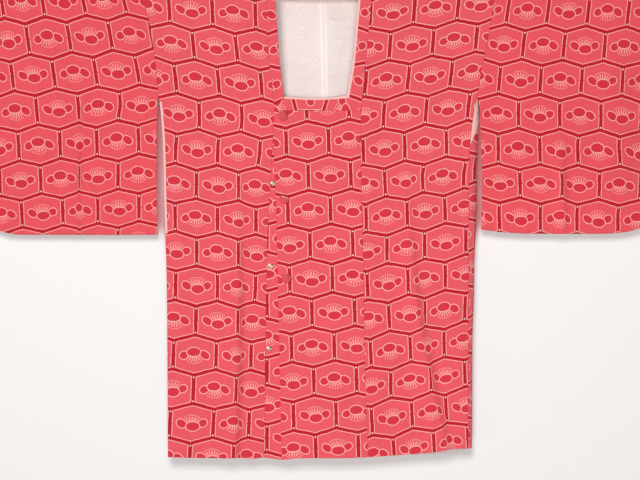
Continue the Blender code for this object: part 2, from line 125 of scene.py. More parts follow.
# %% Seams and edges: (depth below the shoulder fold, place across)
ARMHOLE = {"right": ((0, -361), (36, -354), (50, -347), (83, -340), (152, -330), (225, -323)),
           "left": ((0, 354), (40, 347.4), (87, 339.2), (132, 331), (173, 322.8), (225, 314.6))}
SIDE = {"right": ((225, -322), (290, -316), (350, -313.4), (430, -311.8), (500, -309.4), (610, -306.4),
                  (946, -304)),
        "left": ((225, 314.6), (266, 306.5), (310, 301.4), (360, 299), (430, 297.6), (946, 296))}
SLEEVE_OPENING = {"right": ((225, -323), (240, -325), (270, -326.6), (500, -326.4)),
                  "left": ((225, 314.6), (246, 320), (274, 320.8), (330, 322.4), (400, 323.6), (500, 323.4))}
SLEEVE_END = {"right": ((0, -667), (250, -661), (500, -659)),
              "left": ((0, 666), (250, 660), (500, 658))}
NECK = {"right": ((0, -108), (126, -104), (166, -100.6), (190, -96.6), (251, -91.5)),
        "left": ((0, 103), (50, 101.4), (150, 91.2), (251, 82))}
BAND_SEAM = {"right": ((251, -91.5), (346, -96.6), (420, -100.8), (540, -106), (946, -112)),
             "left": ((251, 82), (330, 81.6), (590, 87.4), (780, 90), (946, 96))}
TOP_BAND_EDGE = ((251, -92), (330, -92.6), (420, -88.6), (590, -84.4), (780, -80), (946, -76))
COLLAR_EDGE = {"right": ((0, -90), (30, -89.4), (110, -83.6), (140, -82), (227, -71)),
               "left": ((0, 82), (30, 81), (74, 77), (156, 69.8), (225, 57.6))}
BACK_SEAM = ((33, 6), (226, 10), (946, 10))
OUTWARD = {"right": -1, "left": 1}

NECK_SEAM_DEPTH = 251.0
BACK_NECK_SEAM = 33.0
BACK_NECK_EDGE = 10.0
ARMHOLE_DEPTH = 225.0
CUFF_DEPTH = 235.0
HEM_DEPTH = 946.0
UNDER_BAND_SHORT = 22.0
print(f"{HEM_DEPTH:.0f} mm long, {SLEEVE_END['left'][0][1] - SLEEVE_END['right'][0][1]} mm from cuff to cuff")

# %% Uneven lower edges, (place across, depth), and how far the cloth stands off the rod's plane
HEM = ((-306, 944), (-260, 945.5), (-190, 946), (-166, 945), (-140, 948), (-112, 945), (-76, 949), (-40, 946),
       (40, 946), (96, 944), (220, 935), (260, 928), (290, 927), (312, 927))
SLEEVE_BOTTOM = ((-660, 499.4), (-324, 499.4), (320, 489), (360, 494), (420, 497.4), (660, 497.4))
COLLAR_FRONT = ((-91, 242), (-71, 227), (-45, 228.5), (-20, 230), (10, 230), (36, 228), (57.6, 225))
COLLAR_UNDER_END = (50.0, 229.0)

BODY_DEPTH = ((0, 13.8), (225, 12.0), (600, 14.5), (950, 17.0))
SLEEVE_HOLLOW = ((0, 12.8), (225, 11.0), (400, 7.6), (430, 6.4), (500, 0.5))
GORE_BULGE = ((229, 3), (251, 8.5), (276, 13), (300, 15), (350, 16), (430, 16.4), (500, 14.4), (560, 12),
              (630, 11), (720, 8.5), (946, 8))
GORE_TOP = {"right": 251.0, "left": 229.0}
print("the front hem is lowest", max(HEM, key=lambda row: row[1])[0], "mm across")

# %% [markdown]
# ## Folds and creases
#
# The photograph's cloth hangs almost flat. What gives it life is a few long soft folds, which the
# CAD solids have too, a little gentler, and many shallow creases from being folded in a drawer and
# pulled by its own seams. A cloth simulation would give them in places of its own choosing. Here
# each one is put where it is seen: a long fold follows a bent line, and a crease is a ridge
# or a trough that fades out at both ends. The same tables serve every layer, so layers never cross.
#
# A fold's row gives its side, where it starts and ends across, the depths of its top and bottom,
# how late it bends, its height and the widths of its two flanks.

# %% Long folds: a ridge with one soft flank, on its left, and a steeper one on its right
Fold = namedtuple("Fold", "side start end top bottom bend height soft steep")
FOLDS = (
    Fold(FRONT, -164, -173, 330, 950, 2.5, 9.0, 24, 10),
    Fold(FRONT, 173, 260, 330, 950, 2.2, 8.0, 26, 10),
    Fold(FRONT, -482, -490, 230, 500, 1.0, 6.0, 13, 7),
    Fold(FRONT, 482, 484, 270, 500, 1.0, 7.0, 16, 9),
    Fold(BACK, -196, -206, 420, 950, 1.0, 5.0, 22, 12),
    Fold(BACK, 150, 178, 360, 950, 1.4, 5.0, 20, 11),
    Fold(BACK, -500, -494, 260, 500, 1.0, 3.5, 16, 10),
    Fold(BACK, 470, 476, 300, 500, 1.0, 3.5, 15, 10),
)


def fold_line(fold, depth):
    """Where a fold's ridge runs at a depth, and how far down its length that is."""
    share = np.clip((depth - fold.top) / (fold.bottom - fold.top), 0.0, None)
    return mix(fold.start, fold.end, share ** fold.bend), share


# %% Short creases: one end, the other end, height (a trough is less than 0) and width
CREASES = {
    FRONT: (
        (-528, 424, -504, 466, -3.0, 6), (-522, 418, -478, 400, 1.8, 7), (-494, 400, -484, 500, -2.2, 6),
        (-448, 426, -450, 462, -1.4, 5), (-660, 424, -520, 428, -0.9, 9), (-470, 424, -330, 416, -0.9, 9),
        (488, 340, 494, 428, -1.5, 6), (470, 452, 492, 474, -1.8, 6), (412, 402, 440, 382, -1.0, 6),
        (480, 432, 640, 428, -1.0, 7), (-330, 360, -115, 361, -1.4, 11), (186, 630, 194, 800, -2.5, 7),
        (206, 660, 232, 830, 1.5, 8), (236, 850, 262, 960, -1.6, 14), (228, 842, 240, 902, -1.4, 7),
        (-260, 60, -250, 380, 0.9, 26), (-210, 120, -196, 420, -0.7, 20), (-300, 300, -220, 520, 0.8, 18),
        (190, 60, 210, 330, 0.9, 24), (250, 90, 232, 420, -0.8, 22), (140, 500, 128, 900, 0.9, 18),
        (282, 420, 270, 900, 0.8, 15), (-270, 560, -262, 930, 0.9, 18), (-20, 330, -30, 700, 0.7, 24),
        (40, 420, 52, 900, 0.8, 22), (-590, 60, -580, 420, 0.9, 26), (-410, 60, -400, 380, 0.9, 24),
        (400, 60, 396, 440, 0.9, 22), (600, 70, 590, 430, 0.9, 26),
    ),
    BACK: (
        (-260, 60, -240, 480, 1.0, 26), (-90, 80, -110, 860, 0.9, 30), (90, 120, 70, 700, 1.0, 28),
        (250, 60, 240, 900, 1.0, 24), (-290, 500, -280, 940, 0.9, 16), (-560, 60, -572, 430, 1.0, 26),
        (-420, 90, -400, 460, 0.9, 22), (560, 60, 552, 450, 1.0, 26), (400, 120, 410, 470, 0.8, 20),
    ),
    INSIDE: (
        (14, 71, 56, 69, -1.9, 2.8), (34, 97, 68, 80, -2.0, 3.0), (16, 108, 60, 108, -1.3, 3.6),
        (16, 224, 44, 214, -2.0, 3.2), (-40, 38, -44, 54, -1.6, 2.4), (30, -60, 22, 420, -5.5, 34),
    ),
}
FOLD_SWELL = 1.8
CREASE_FADE = 0.35


def relief(across, depth, side):
    """How far folds and creases lift the cloth of one side."""
    lift = np.zeros(np.broadcast(across, depth).shape)
    for fold in FOLDS:
        if fold.side == side:
            line, share = fold_line(fold, depth)
            flank = np.where(across < line, fold.soft, fold.steep)
            lift = lift + fold.height * smooth(share * FOLD_SWELL) * np.exp(-((across - line) / flank) ** 2)
    for x0, d0, x1, d1, height, width in CREASES[side]:
        run = np.array((x1 - x0, d1 - d0), float)
        length = np.hypot(*run)
        run /= length
        along = (across - x0) * run[0] + (depth - d0) * run[1]
        aside = (across - x0) * run[1] - (depth - d0) * run[0]
        fade = smooth(along / length / CREASE_FADE) * smooth((length - along) / length / CREASE_FADE)
        lift = lift + height * fade * np.exp(-(aside / width) ** 2)
    return lift


print(len(FOLDS), "long folds and", sum(len(rows) for rows in CREASES.values()), "creases")

# %% [markdown]
# ## Hanging a point
#
# `hang` is the whole coat in one rule: a place across and a depth, on the front or the back, give
# a point in the frame. Above the fold's radius the cloth goes round the rod, and below it hangs
# off the rod's plane with its folds, which fade in over the first few centimetres.

# %% From a place on the coat to a point in the frame
FADE_IN = 60.0
BACK_HEM_EVEN = 0.6
LIFT_WIDTH, LIFT_TOP, LIFT_LENGTH = 75.0, 50.0, 160.0


def hang(across, depth, side, out=0.0):
    """Points of the body's cloth in millimetres, moved out from the middle of its wall."""
    parts = (np.asarray(part, float) for part in (across, depth, side, out))
    across, depth, side, out = np.broadcast_arrays(*parts)
    turn = np.arccos(np.clip(1 - depth / fold_radius, -1.0, 1.0))
    over = depth < fold_radius
    lift = np.where(side < 0, relief(across, depth, FRONT), relief(across, depth, BACK))
    lift = lift * smooth((depth - fold_radius) / FADE_IN)
    y = np.where(over, (fold_radius + out) * np.sin(turn), read(BODY_DEPTH, depth) + lift + out)
    z = np.where(over, (fold_radius + out) * np.cos(turn), fold_radius - depth)
    return joined(across, side * y, z - rod_drop)


def hem_shift(across, depth, side):
    """The depth with the uneven hem of the front, or the even one of the back, worked in."""
    hem = read(HEM, across)
    hem = np.where(np.asarray(side) > 0, mix(hem, HEM_DEPTH, BACK_HEM_EVEN), hem)
    return depth + (hem - HEM_DEPTH) * (depth / HEM_DEPTH) ** 2


def inner_edge(hand, depth):
    """The edge of a front panel: the neck seam, then the band's seam."""
    return np.where(depth < NECK_SEAM_DEPTH, read(NECK[hand], depth), read(BAND_SEAM[hand], depth))


def outer_edge(hand, depth, below):
    """The armhole, then the edge below it: the side seam or the sleeve's opening."""
    return np.where(depth < ARMHOLE_DEPTH, read(ARMHOLE[hand], depth), read(below[hand], depth))


def back_neckline(hand, depth):
    """The back panel's inner edge: a quarter round under the collar, then the back seam."""
    round_off = 1 - np.sqrt(1 - np.clip(depth / BACK_NECK_SEAM, 0.0, 1.0) ** 2)
    return mix(NECK[hand][0][1], read(BACK_SEAM, depth), round_off)


def left_lift(across, depth):
    """How far the left front stands out, because it lies over the right one."""
    away = (across - inner_edge("left", depth)) / LIFT_WIDTH
    return LAYER_STEP * smooth((depth - LIFT_TOP) / LIFT_LENGTH) * (1 - smooth(away))


print("the middle of the right front's hem hangs at", hang(-200, HEM_DEPTH, FRONT).round(), "mm")


# %% [markdown]
# ## Where the print falls
#
# The silk is printed before it is cut, so the print runs on over the shoulder and stops at every
# seam. Each cloth therefore carries its own grid: the print is counted in columns and rows of
# hexagons, and a cloth says which column and row lie at six of its places, three down its near
# edge and three down its far one. Between them the grid bends softly, as cloth does on the hanger.
# At a deep fold some cloth is swallowed, so the print jumps ahead there: a tuck names the fold and
# the millimetres lost above and below. Last, the cloth gives a little between its seams: a slip
# says how many millimetres the print lies further right and further down at a depth, first at the
# near edge and then at the far one.
#
# These two tables are measurements and not a design. The columns and rows of the bodies, sleeves
# and left band come from a least-squares fit to flower places read off the photograph, and the
# slips from a comparison of a first picture with it, rounded to whole millimetres.

# %% The print's grid on a cloth
COLUMN = 86.0
ROW = 69.0
Grid = namedtuple("Grid", "edges depths near far tucks", defaults=((),))
PRINT = {
    "body_right": Grid((-320, -100), (0, 475, 950), ((0.30, -0.65), (0.10, 6.17), (0.33, 13.07)),
                       ((2.82, -0.86), (2.75, 6.05), (2.87, 13.13)), ((FOLDS[0], 8.0, 16.0),)),
    "body_left": Grid((90, 310), (0, 475, 950), ((0.37, -0.92), (0.46, 6.15), (0.17, 13.10)),
                      ((2.81, -0.58), (3.15, 6.46), (2.99, 13.69)), ((FOLDS[1], 7.0, 13.0),)),
    "sleeve_right": Grid((-660, -340), (0, 250, 500), ((-1.22, -1.38), (-1.61, 1.93), (-1.76, 5.62)),
                         ((2.74, -1.38), (2.20, 2.16), (2.25, 5.92)), ((FOLDS[2], 10.0, 12.0),)),
    "sleeve_left": Grid((340, 660), (0, 250, 500), ((-1.04, -0.75), (-0.71, 2.89), (-0.76, 6.46)),
                        ((2.98, -0.80), (3.17, 2.83), (3.14, 6.42)), ((FOLDS[3], 8.0, 9.0),)),
    "band_left": Grid((-80, 90), (250, 600, 950), ((0.37, -0.95), (0.27, 4.15), (0.15, 9.27)),
                      ((2.38, -0.83), (2.26, 4.23), (2.15, 9.44))),
    "band_right": Grid((-112, 60), (250, 600, 950), ((-0.07, -6.84), (-0.07, -1.59), (-0.07, 3.66)),
                       ((1.93, -6.84), (1.93, -1.59), (1.93, 3.66))),
    "collar_left": Grid((40, 120), (0, 125, 250), ((-0.90, -0.72), (-0.75, 1.08), (-0.59, 2.88)),
                        ((0.03, -0.81), (0.18, 0.99), (0.34, 2.79))),
    "collar_right": Grid((-120, -70), (0, 125, 250), ((0.02, -0.88), (-0.07, 0.90), (-0.16, 2.67)),
                         ((0.60, -0.80), (0.51, 0.97), (0.42, 2.75))),
    "collar_front": Grid((-91, 58), (220, 236, 252), ((-0.40, 2.09), (-0.21, 2.09), (-0.02, 2.09)),
                         ((-0.40, -0.20), (-0.21, -0.20), (-0.02, -0.20))),
}


Slip = namedtuple("Slip", "depth near_across near_down far_across far_down")
SLIPS = {
    "body_right": (
        Slip(0, -2, 0, -3, 2), Slip(90, -2, 0, -3, 2), Slip(150, 0, -1, 2, 2), Slip(210, 4, 0, 6, 1),
        Slip(270, 5, 0, 8, 2), Slip(325, -1, 1, 1, 1), Slip(390, -3, 2, 1, 3), Slip(450, -4, 0, 1, 2),
        Slip(570, -1, -2, 1, -1), Slip(690, -1, -1, 3, 1), Slip(950, 0, 0, 4, 2),
    ),
    "body_left": (
        Slip(0, 3, -2, -1, -1), Slip(90, 2, -2, -3, -1), Slip(150, 0, -1, -4, -3), Slip(210, -4, 0, -7, -2),
        Slip(270, -8, 0, -10, -2), Slip(330, -6, 2, -7, -1), Slip(390, -4, 2, -6, -1),
        Slip(450, -1, 2, 0, -2), Slip(570, -2, 1, 1, -2), Slip(750, -1, 1, 0, -1), Slip(810, -6, -1, 0, -2),
        Slip(950, -9, 0, 0, 0),
    ),
    "sleeve_right": (
        Slip(0, 0, 3, 1, 1), Slip(130, -1, 4, -1, -2), Slip(190, -1, 1, 1, 0), Slip(300, 0, 0, 0, 0),
        Slip(350, 0, 1, 0, 2), Slip(410, 0, 2, 3, 3), Slip(470, 1, 1, 6, 4),
    ),
    "sleeve_left": (
        Slip(0, 1, -1, 2, 0), Slip(130, -1, -1, -1, 1), Slip(240, -2, 0, -1, 1), Slip(295, 1, -1, 0, 2),
        Slip(350, 1, 1, 5, 4), Slip(405, 2, -2, 5, 2), Slip(460, 0, -3, -1, 0),
    ),
}


def laid_depth(depth, side):
    """The depth as measured along the cloth, which runs on over the rod and down the back."""
    spare = fold_radius * (math.pi / 2 - 1)
    turn = np.arccos(np.clip(1 - depth / fold_radius, -1.0, 1.0))
    laid = np.where(depth < fold_radius, fold_radius * turn - spare, depth)
    return np.where(np.asarray(side) < 0, laid, -2 * spare - laid)


def print_at(grid, across, depth, side=FRONT):
    """The print's column and row at places of a cloth."""
    laid = laid_depth(depth, side)
    share = (across - grid.edges[0]) / (grid.edges[1] - grid.edges[0])
    start = grid.depths[0]
    down = (np.clip(laid, start, None) - start) / (grid.depths[2] - start)
    weights = (2 * (down - 0.5) * (down - 1), 4 * down * (1 - down), 2 * down * (down - 0.5))
    near = sum(weight[..., None] * np.array(pair) for weight, pair in zip(weights, grid.near))
    far = sum(weight[..., None] * np.array(pair) for weight, pair in zip(weights, grid.far))
    place = mix(near, far, share[..., None])
    place[..., 1] += np.clip(laid - start, None, 0.0) / ROW
    for fold, above, below in grid.tucks:
        line, run = fold_line(fold, depth)
        swallowed = smooth((across - line) / (1.8 * fold.steep))
        swallowed = swallowed * smooth((depth - fold.top) / FADE_IN)
        swallowed = swallowed * mix(above, below, smooth((run - 0.4) * 4))
        place[..., 0] += np.where(np.asarray(side) < 0, swallowed / COLUMN, 0.0)
    for name, slips in SLIPS.items():
        if PRINT[name] is grid:
            near_across, near_down, far_across, far_down = (
                read([(slip.depth, slip[column]) for slip in slips], laid) for column in (1, 2, 3, 4))
            place[..., 0] -= mix(near_across, far_across, share) / COLUMN
            place[..., 1] -= mix(near_down, far_down, share) / ROW
    return place


print("grids:", ", ".join(PRINT))

# %% [markdown]
# ## Making a cloth
#
# A lined cloth is a thin closed shell: printed silk outside, lining inside, and a soft rounded
# edge where the two are turned in and sewn. Solidify would give it a square edge. Here the two
# skins are laid to both sides of a grid of points, and they draw together over the last
# millimetre to meet in one line, which also sinks every seam a little, as a pressed seam sinks.
# `RIM` holds the close steps of that rounding. A distance times `SEWN` rounds off within a fifth of
# it, for an edge that is sewn to its neighbour, and `FAR` stands for no edge at all.

# %% A closed shell with rounded edges
RIM = np.array((0.0, 0.15, 0.5, 1.0, 2.2, 4.4))
SEWN = 5.0
FAR = 50.0
WIDE_CLOTH, ACROSS_COUNTS = 60.0, 0.01


def roundness(edge, radius):
    """How full a wall is at a distance from its edge: a quarter round, then 1."""
    return np.sqrt(1 - (1 - np.clip(edge / radius, 0.0, 1.0)) ** 2)


def ruled(width, step):
    """Distances from one edge to the other, closer together along both, one row for each width."""
    width = np.atleast_1d(np.asarray(width, float))
    count = max(2, int(round((width.max() - 2 * RIM[-1]) / step)))
    share = np.linspace(0.0, 1.0, count + 1)[1:-1]
    base = np.concatenate((RIM, RIM[-1] * (1 - 2 * share), -RIM[::-1]))
    gain = np.concatenate((np.zeros(len(RIM)), share, np.ones(len(RIM))))
    return base + width[:, None] * gain


def piece_from(name, points, faces, finishes, uses, places):
    """A mesh piece in metres, with its materials and its print or figure as a UV map."""
    mesh = bpy.data.meshes.new(name)
    mesh.from_pydata((points * MM).tolist(), [], faces.tolist())
    for finish in finishes:
        mesh.materials.append(finish)
    mesh.polygons.foreach_set("material_index", np.asarray(uses, dtype=np.int32))
    layer = mesh.uv_layers.new(name="print")
    layer.data.foreach_set("uv", np.asarray(places, dtype=np.float32).ravel())
    mesh.validate()
    mesh.shade_smooth()
    made = bpy.data.objects.new(name, mesh)
    bpy.context.scene.collection.objects.link(made)
    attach(made, "root")
    return made


def quads(grid):
    """The faces of a grid of point numbers."""
    return np.stack((grid[:-1, :-1], grid[:-1, 1:], grid[1:, 1:], grid[1:, :-1]), axis=-1).reshape(-1, 4)


def cloth(name, middle, edge, places, finishes, wall=WALL, lined=None):
    """A lined cloth along a grid of points, with the distance of each from the cloth's edge."""
    rows, columns = middle.shape[:2]
    normal = np.cross(np.gradient(middle, axis=0), np.gradient(middle, axis=1))
    normal /= np.maximum(np.linalg.norm(normal, axis=-1, keepdims=True), 1e-9)
    from_middle = middle - np.array((middle[..., 0].mean(), 0.0, middle[..., 2].mean()))
    from_middle[..., 0] *= ACROSS_COUNTS if np.ptp(middle[..., 0]) > WIDE_CLOTH else 1.0
    facing = np.sign((normal * from_middle).sum())
    half = (wall / 2 * roundness(edge, wall / 2))[..., None]
    outer = (middle + facing * normal * half).reshape(-1, 3)
    inner = (middle - facing * normal * half).reshape(-1, 3)
    numbers = np.arange(rows * columns)
    inside = half.reshape(-1) > 1e-6
    lower = numbers.copy()
    lower[inside] = rows * columns + np.arange(inside.sum())
    points = np.concatenate((outer, inner[inside]))
    outer_faces = quads(numbers.reshape(rows, columns))
    inner_faces = quads(lower.reshape(rows, columns))
    turned = (0, 1, 2, 3) if facing > 0 else (3, 2, 1, 0)
    faces = np.concatenate((outer_faces[:, turned], inner_faces[:, turned[::-1]]))
    if lined is None:
        lined = np.zeros((rows - 1, columns - 1), bool)
    uses = np.concatenate((lined.reshape(-1), np.ones(len(inner_faces), int)))
    corner_places = []
    for first, last, part in places:
        corners = part.reshape(-1, 2)[outer_faces]
        corner_places.append(corners.reshape(rows - 1, columns - 1, 4, 2)[first:last])
    corner_places = np.concatenate(corner_places).reshape(-1, 4, 2)
    corner_places = np.concatenate((corner_places[:, turned], corner_places[:, turned[::-1]]))
    return piece_from(name, points, faces, finishes, uses, corner_places)


def whole(part):
    """One print for the whole of a cloth."""
    return [(0, part.shape[0] - 1, part)]


print("a strip 40 mm wide is ruled at", ruled(40, 10)[0].round(1))

# %% [markdown]
# ## Reckoning inside a shader
#
# The print is drawn by a formula, so it stays sharp at any distance and needs no picture. A formula
# of Math nodes is long to wire by hand. `Value` wraps a socket, so that `a * 2 + b` in the script
# makes the two nodes and their links, and the drawing can be read as drawing.

# %% A shader value that takes part in sums
class Value:
    """A socket of a node tree that can be added, multiplied and compared."""

    def __init__(self, tree, socket):
        self.tree, self.socket = tree, socket

    def math(self, operation, *others, clamp=False):
        made = self.tree.nodes.new("ShaderNodeMath")
        made.operation = operation
        made.use_clamp = clamp
        for place, value in enumerate((self, *others)):
            if isinstance(value, Value):
                self.tree.links.new(value.socket, made.inputs[place])
            else:
                made.inputs[place].default_value = value
        return Value(self.tree, made.outputs[0])

    def __add__(self, other):
        return self.math("ADD", other)

    def __sub__(self, other):
        return self.math("SUBTRACT", other)

    def __mul__(self, other):
        return self.math("MULTIPLY", other)

    def __truediv__(self, other):
        return self.math("DIVIDE", other)

    def size(self):
        return self.math("ABSOLUTE")

    def inside(self, soft=0.35):
        """1 where a distance is below 0, with a soft edge, and 0 elsewhere."""
        return self.math("MULTIPLY_ADD", -0.5 / soft, 0.5, clamp=True)

    def either(self, other):
        return self.math("MAXIMUM", other)

    def both(self, other):
        return self.math("MINIMUM", other)


def length_of(first, second):
    """The length of a vector with two parts."""
    return (first * first + second * second).math("SQRT")


def paint(tree, mask, under, over):
    """One colour over another where the mask is 1."""
    made = tree.nodes.new("ShaderNodeMix")
    made.data_type = "RGBA"
    tree.links.new(mask.socket, made.inputs[0])
    for place, colour in ((6, under), (7, over)):
        tree.links.new(colour, made.inputs[place])
    return made.outputs[2]


def node(tree, kind, links=(), **settings):
    """A node with its settings and with what is linked to its inputs."""
    made = tree.nodes.new(kind)
    for name, value in settings.items():
        setattr(made, name, value)
    for name, value in dict(links).items():
        if isinstance(value, Value):
            value = value.socket
        if isinstance(value, bpy.types.NodeSocket):
            tree.links.new(value, made.inputs[name])
        else:
            made.inputs[name].default_value = value
    return made


def shader_group(name, inputs, outputs):
    """An empty shader node group with its named sockets."""
    tree = bpy.data.node_groups.new(name, "ShaderNodeTree")
    for label, kind in inputs:
        tree.interface.new_socket(label, in_out="INPUT", socket_type=kind)
    for label, kind in outputs:
        tree.interface.new_socket(label, in_out="OUTPUT", socket_type=kind)
    return tree, tree.nodes.new("NodeGroupInput"), tree.nodes.new("NodeGroupOutput")


def srgb(red, green, blue):
    """A colour as a screen shows it, from 0 to 255, turned into the linear one that shaders take."""
    parts = [value / 255 for value in (red, green, blue)]
    return tuple(p / 12.92 if p <= 0.04045 else ((p + 0.055) / 1.055) ** 2.4 for p in parts) + (1.0,)


print("a coral red in a shader's numbers:", [round(part, 3) for part in srgb(237, 87, 97)])


# %% Small parts that many materials share
def own_place(tree):
    """The place on the piece itself, in metres."""
    return node(tree, "ShaderNodeTexCoord").outputs["Object"]


def steady(tree, colour):
    """One colour as an output that can be painted over."""
    made = node(tree, "ShaderNodeRGB")
    made.outputs[0].default_value = colour
    return made.outputs[0]


def noise(tree, place, scale, detail, **more):
    """A cloudy value about 0.5."""
    made = node(tree, "ShaderNodeTexNoise", {"Vector": place, "Scale": scale, "Detail": detail, **more})
    return Value(tree, made.outputs[0])


def raised(tree, shader, height, distance, strength):
    """Let a height show in a material's surface."""
    bump = node(tree, "ShaderNodeBump", {"Height": height, "Distance": distance, "Strength": strength})
    tree.links.new(bump.outputs["Normal"], shader.inputs["Normal"])


# %% [markdown]
# ## The turtle-shell print
#
# The old pattern is called kikko, turtle shell: rows of wide hexagons, each with a flower seen
# from its side. One flower is drawn, and every other column turns it upside down. All sizes are in
# millimetres on the cloth. The lines waver by half a millimetre, as a hand-cut stencil's do.
#
# A row of hexagons is found first: the zigzag between two rows rises and falls by `ZIGZAG`, so a
# point's row is the one whose zigzag it has passed. Its place in the cell then says what is there.

# %% The print's sizes
ZIGZAG = 11.6
ZIGZAG_SLOPE = math.cos(math.atan(2 * ZIGZAG / COLUMN))
BAR_HALF = 3.6
ZIGZAG_HALF = 3.3
PALE_LINE = 1.65
BAR_DOT = (24.2, 1.5)
PETAL_LINE = 0.9
RAY_HEART = (-0.2, -7.1)
RAY_STEP, RAY_FROM, RAY_TO, RAY_HALF = 17.0, 11.5, 21.0, 0.95
DOT_STEP, DOT_RING, DOT_RADIUS = 9.2, 24.2, 1.05
NICK_HALF, NICK_DEPTH = 0.7, 1.4
CORNER_ROUND = 2.5
LEFT_PETAL = ((-21.7, 0.7), 9.5, 8.2, -25)
RIGHT_PETAL = ((20.2, 0.0), 11.4, 8.1, 35)
TOP_PETAL = ((-2.4, -6.0), 14.0, 9.8, 0)
TOP_CUT, TOP_ROUND = 3.4, 3.0


def oval(u, v, centre, half_length, half_width, degrees):
    """The distance to an oval's line: less than 0 inside it."""
    cosine, sine = math.cos(math.radians(degrees)), math.sin(math.radians(degrees))
    du, dv = u - centre[0], v - centre[1]
    along, aside = du * cosine + dv * sine, dv * cosine - du * sine
    near = length_of(along / half_length, aside / half_width)
    steep = length_of(along / half_length ** 2, aside / half_width ** 2)
    return near * (near - 1.0) / (steep + 0.0001)


def repeated(angle, step, last):
    """An angle from the nearest of a few equal steps, in radians."""
    turn = (angle / math.radians(step)).math("ROUND")
    turn = turn.math("MAXIMUM", -float(last)).math("MINIMUM", float(last))
    return angle - turn * math.radians(step)


print(f"hexagons {COLUMN:.0f} mm wide, in rows {ROW:.0f} mm apart")


# %% Draw the print as a shader group
def turtle_shell_print():
    """The group that turns the print's column and row into its colour."""
    inks = [(ink, "NodeSocketColor") for ink in ("Ground", "Petal", "Line", "Pearl", "Zigzag", "Bar")]
    tree, given, result = shader_group(
        "turtle_shell_print", [("Print", "NodeSocketVector"), ("Waver", "NodeSocketFloat"), *inks],
        [("Color", "NodeSocketColor")])
    place = node(tree, "ShaderNodeSeparateXYZ", {"Vector": given.outputs["Print"]})
    in_mm = node(tree, "ShaderNodeVectorMath", {0: given.outputs["Print"], 1: (COLUMN, ROW, 1.0)},
                 operation="MULTIPLY")
    unsteady = node(tree, "ShaderNodeTexNoise", {"Vector": in_mm.outputs[0], "Scale": 0.07, "Detail": 1.0},
                    noise_dimensions="2D")
    sway = node(tree, "ShaderNodeSeparateColor", {"Color": unsteady.outputs["Color"]})
    waver = Value(tree, given.outputs["Waver"])
    a = Value(tree, place.outputs["X"]) + (Value(tree, sway.outputs[0]) - 0.5) * waver / COLUMN
    b = Value(tree, place.outputs["Y"]) + (Value(tree, sway.outputs[1]) - 0.5) * waver / ROW

    whole_row = b.math("FLOOR")
    phase = ((a - whole_row * 0.5 + 0.5).math("FRACT") - 0.5).size()
    line = whole_row + 0.5 + (phase * -4.0 + 1.0) * (ZIGZAG / (2 * ROW))
    row = whole_row + b.math("GREATER_THAN", line)
    column = a - row * 0.5
    cell = column.math("ROUND")
    x, y = (column - cell) * COLUMN, (b - row) * ROW
    flip = cell.math("FLOORED_MODULO", 2.0) * -2.0 + 1.0
    u, v = x * flip, y * flip

    to_bar = x.size() * -1.0 + COLUMN / 2
    to_zigzag = (b - line).size() * (ROW * ZIGZAG_SLOPE)
    bar = (to_bar - BAR_HALF).inside()
    nick = (y.size() - NICK_HALF).inside().both((to_bar - BAR_HALF - NICK_DEPTH).inside())
    zigzag = (to_zigzag - ZIGZAG_HALF).inside()
    border = (to_bar - BAR_HALF).math("SMOOTH_MIN", to_zigzag - ZIGZAG_HALF, CORNER_ROUND)
    frame_line = ((border - PALE_LINE / 2).size() - PALE_LINE / 2).inside()
    pearl = (length_of(to_bar, y.size() - BAR_DOT[0]) - BAR_DOT[1]).inside()

    reach = length_of(u - RAY_HEART[0], v - RAY_HEART[1])
    angle = (u - RAY_HEART[0]).math("ARCTAN2", v - RAY_HEART[1])
    aside = reach * repeated(angle, RAY_STEP, 2).math("SINE")
    middle, half = (RAY_FROM + RAY_TO) / 2, (RAY_TO - RAY_FROM) / 2
    rays = (aside.size() - RAY_HALF).inside().both(((reach - middle).size() - half).inside())
    aside = reach * repeated(angle, DOT_STEP, 4).math("SINE")
    dots = (length_of(reach - DOT_RING, aside) - DOT_RADIUS).inside()
    top = oval(u, v, *TOP_PETAL).math("SMOOTH_MAX", v - TOP_CUT, TOP_ROUND)
    sides = oval(u, v, *LEFT_PETAL).both(oval(u, v, *RIGHT_PETAL))

    colour = given.outputs["Ground"]
    for mask, ink in ((frame_line, "Line"), (zigzag, "Zigzag"), (bar.either(nick), "Bar"), (pearl, "Pearl"),
                      (rays.either(dots), "Line"), (sides.inside(), "Petal"),
                      ((sides.size() - PETAL_LINE).inside(), "Line"), (top.inside(), "Petal"),
                      ((top.size() - PETAL_LINE).inside(), "Line")):
        colour = paint(tree, mask, colour, given.outputs[ink])
    tree.links.new(colour, result.inputs["Color"])
    return tree


PRINT_GROUP = turtle_shell_print()
print("print group:", len(PRINT_GROUP.nodes), "nodes")

# %% [markdown]
# ## Crepe and its grain
#
# Chirimen crepe is woven from hard-twisted threads, which shrink to a fine pebble. It scatters
# light softly and never shines in a line. The group gives that pebble as a height for the bump and
# as a small change of shade, with a slow cloudiness that dyed cloth has. Every silk here uses it.

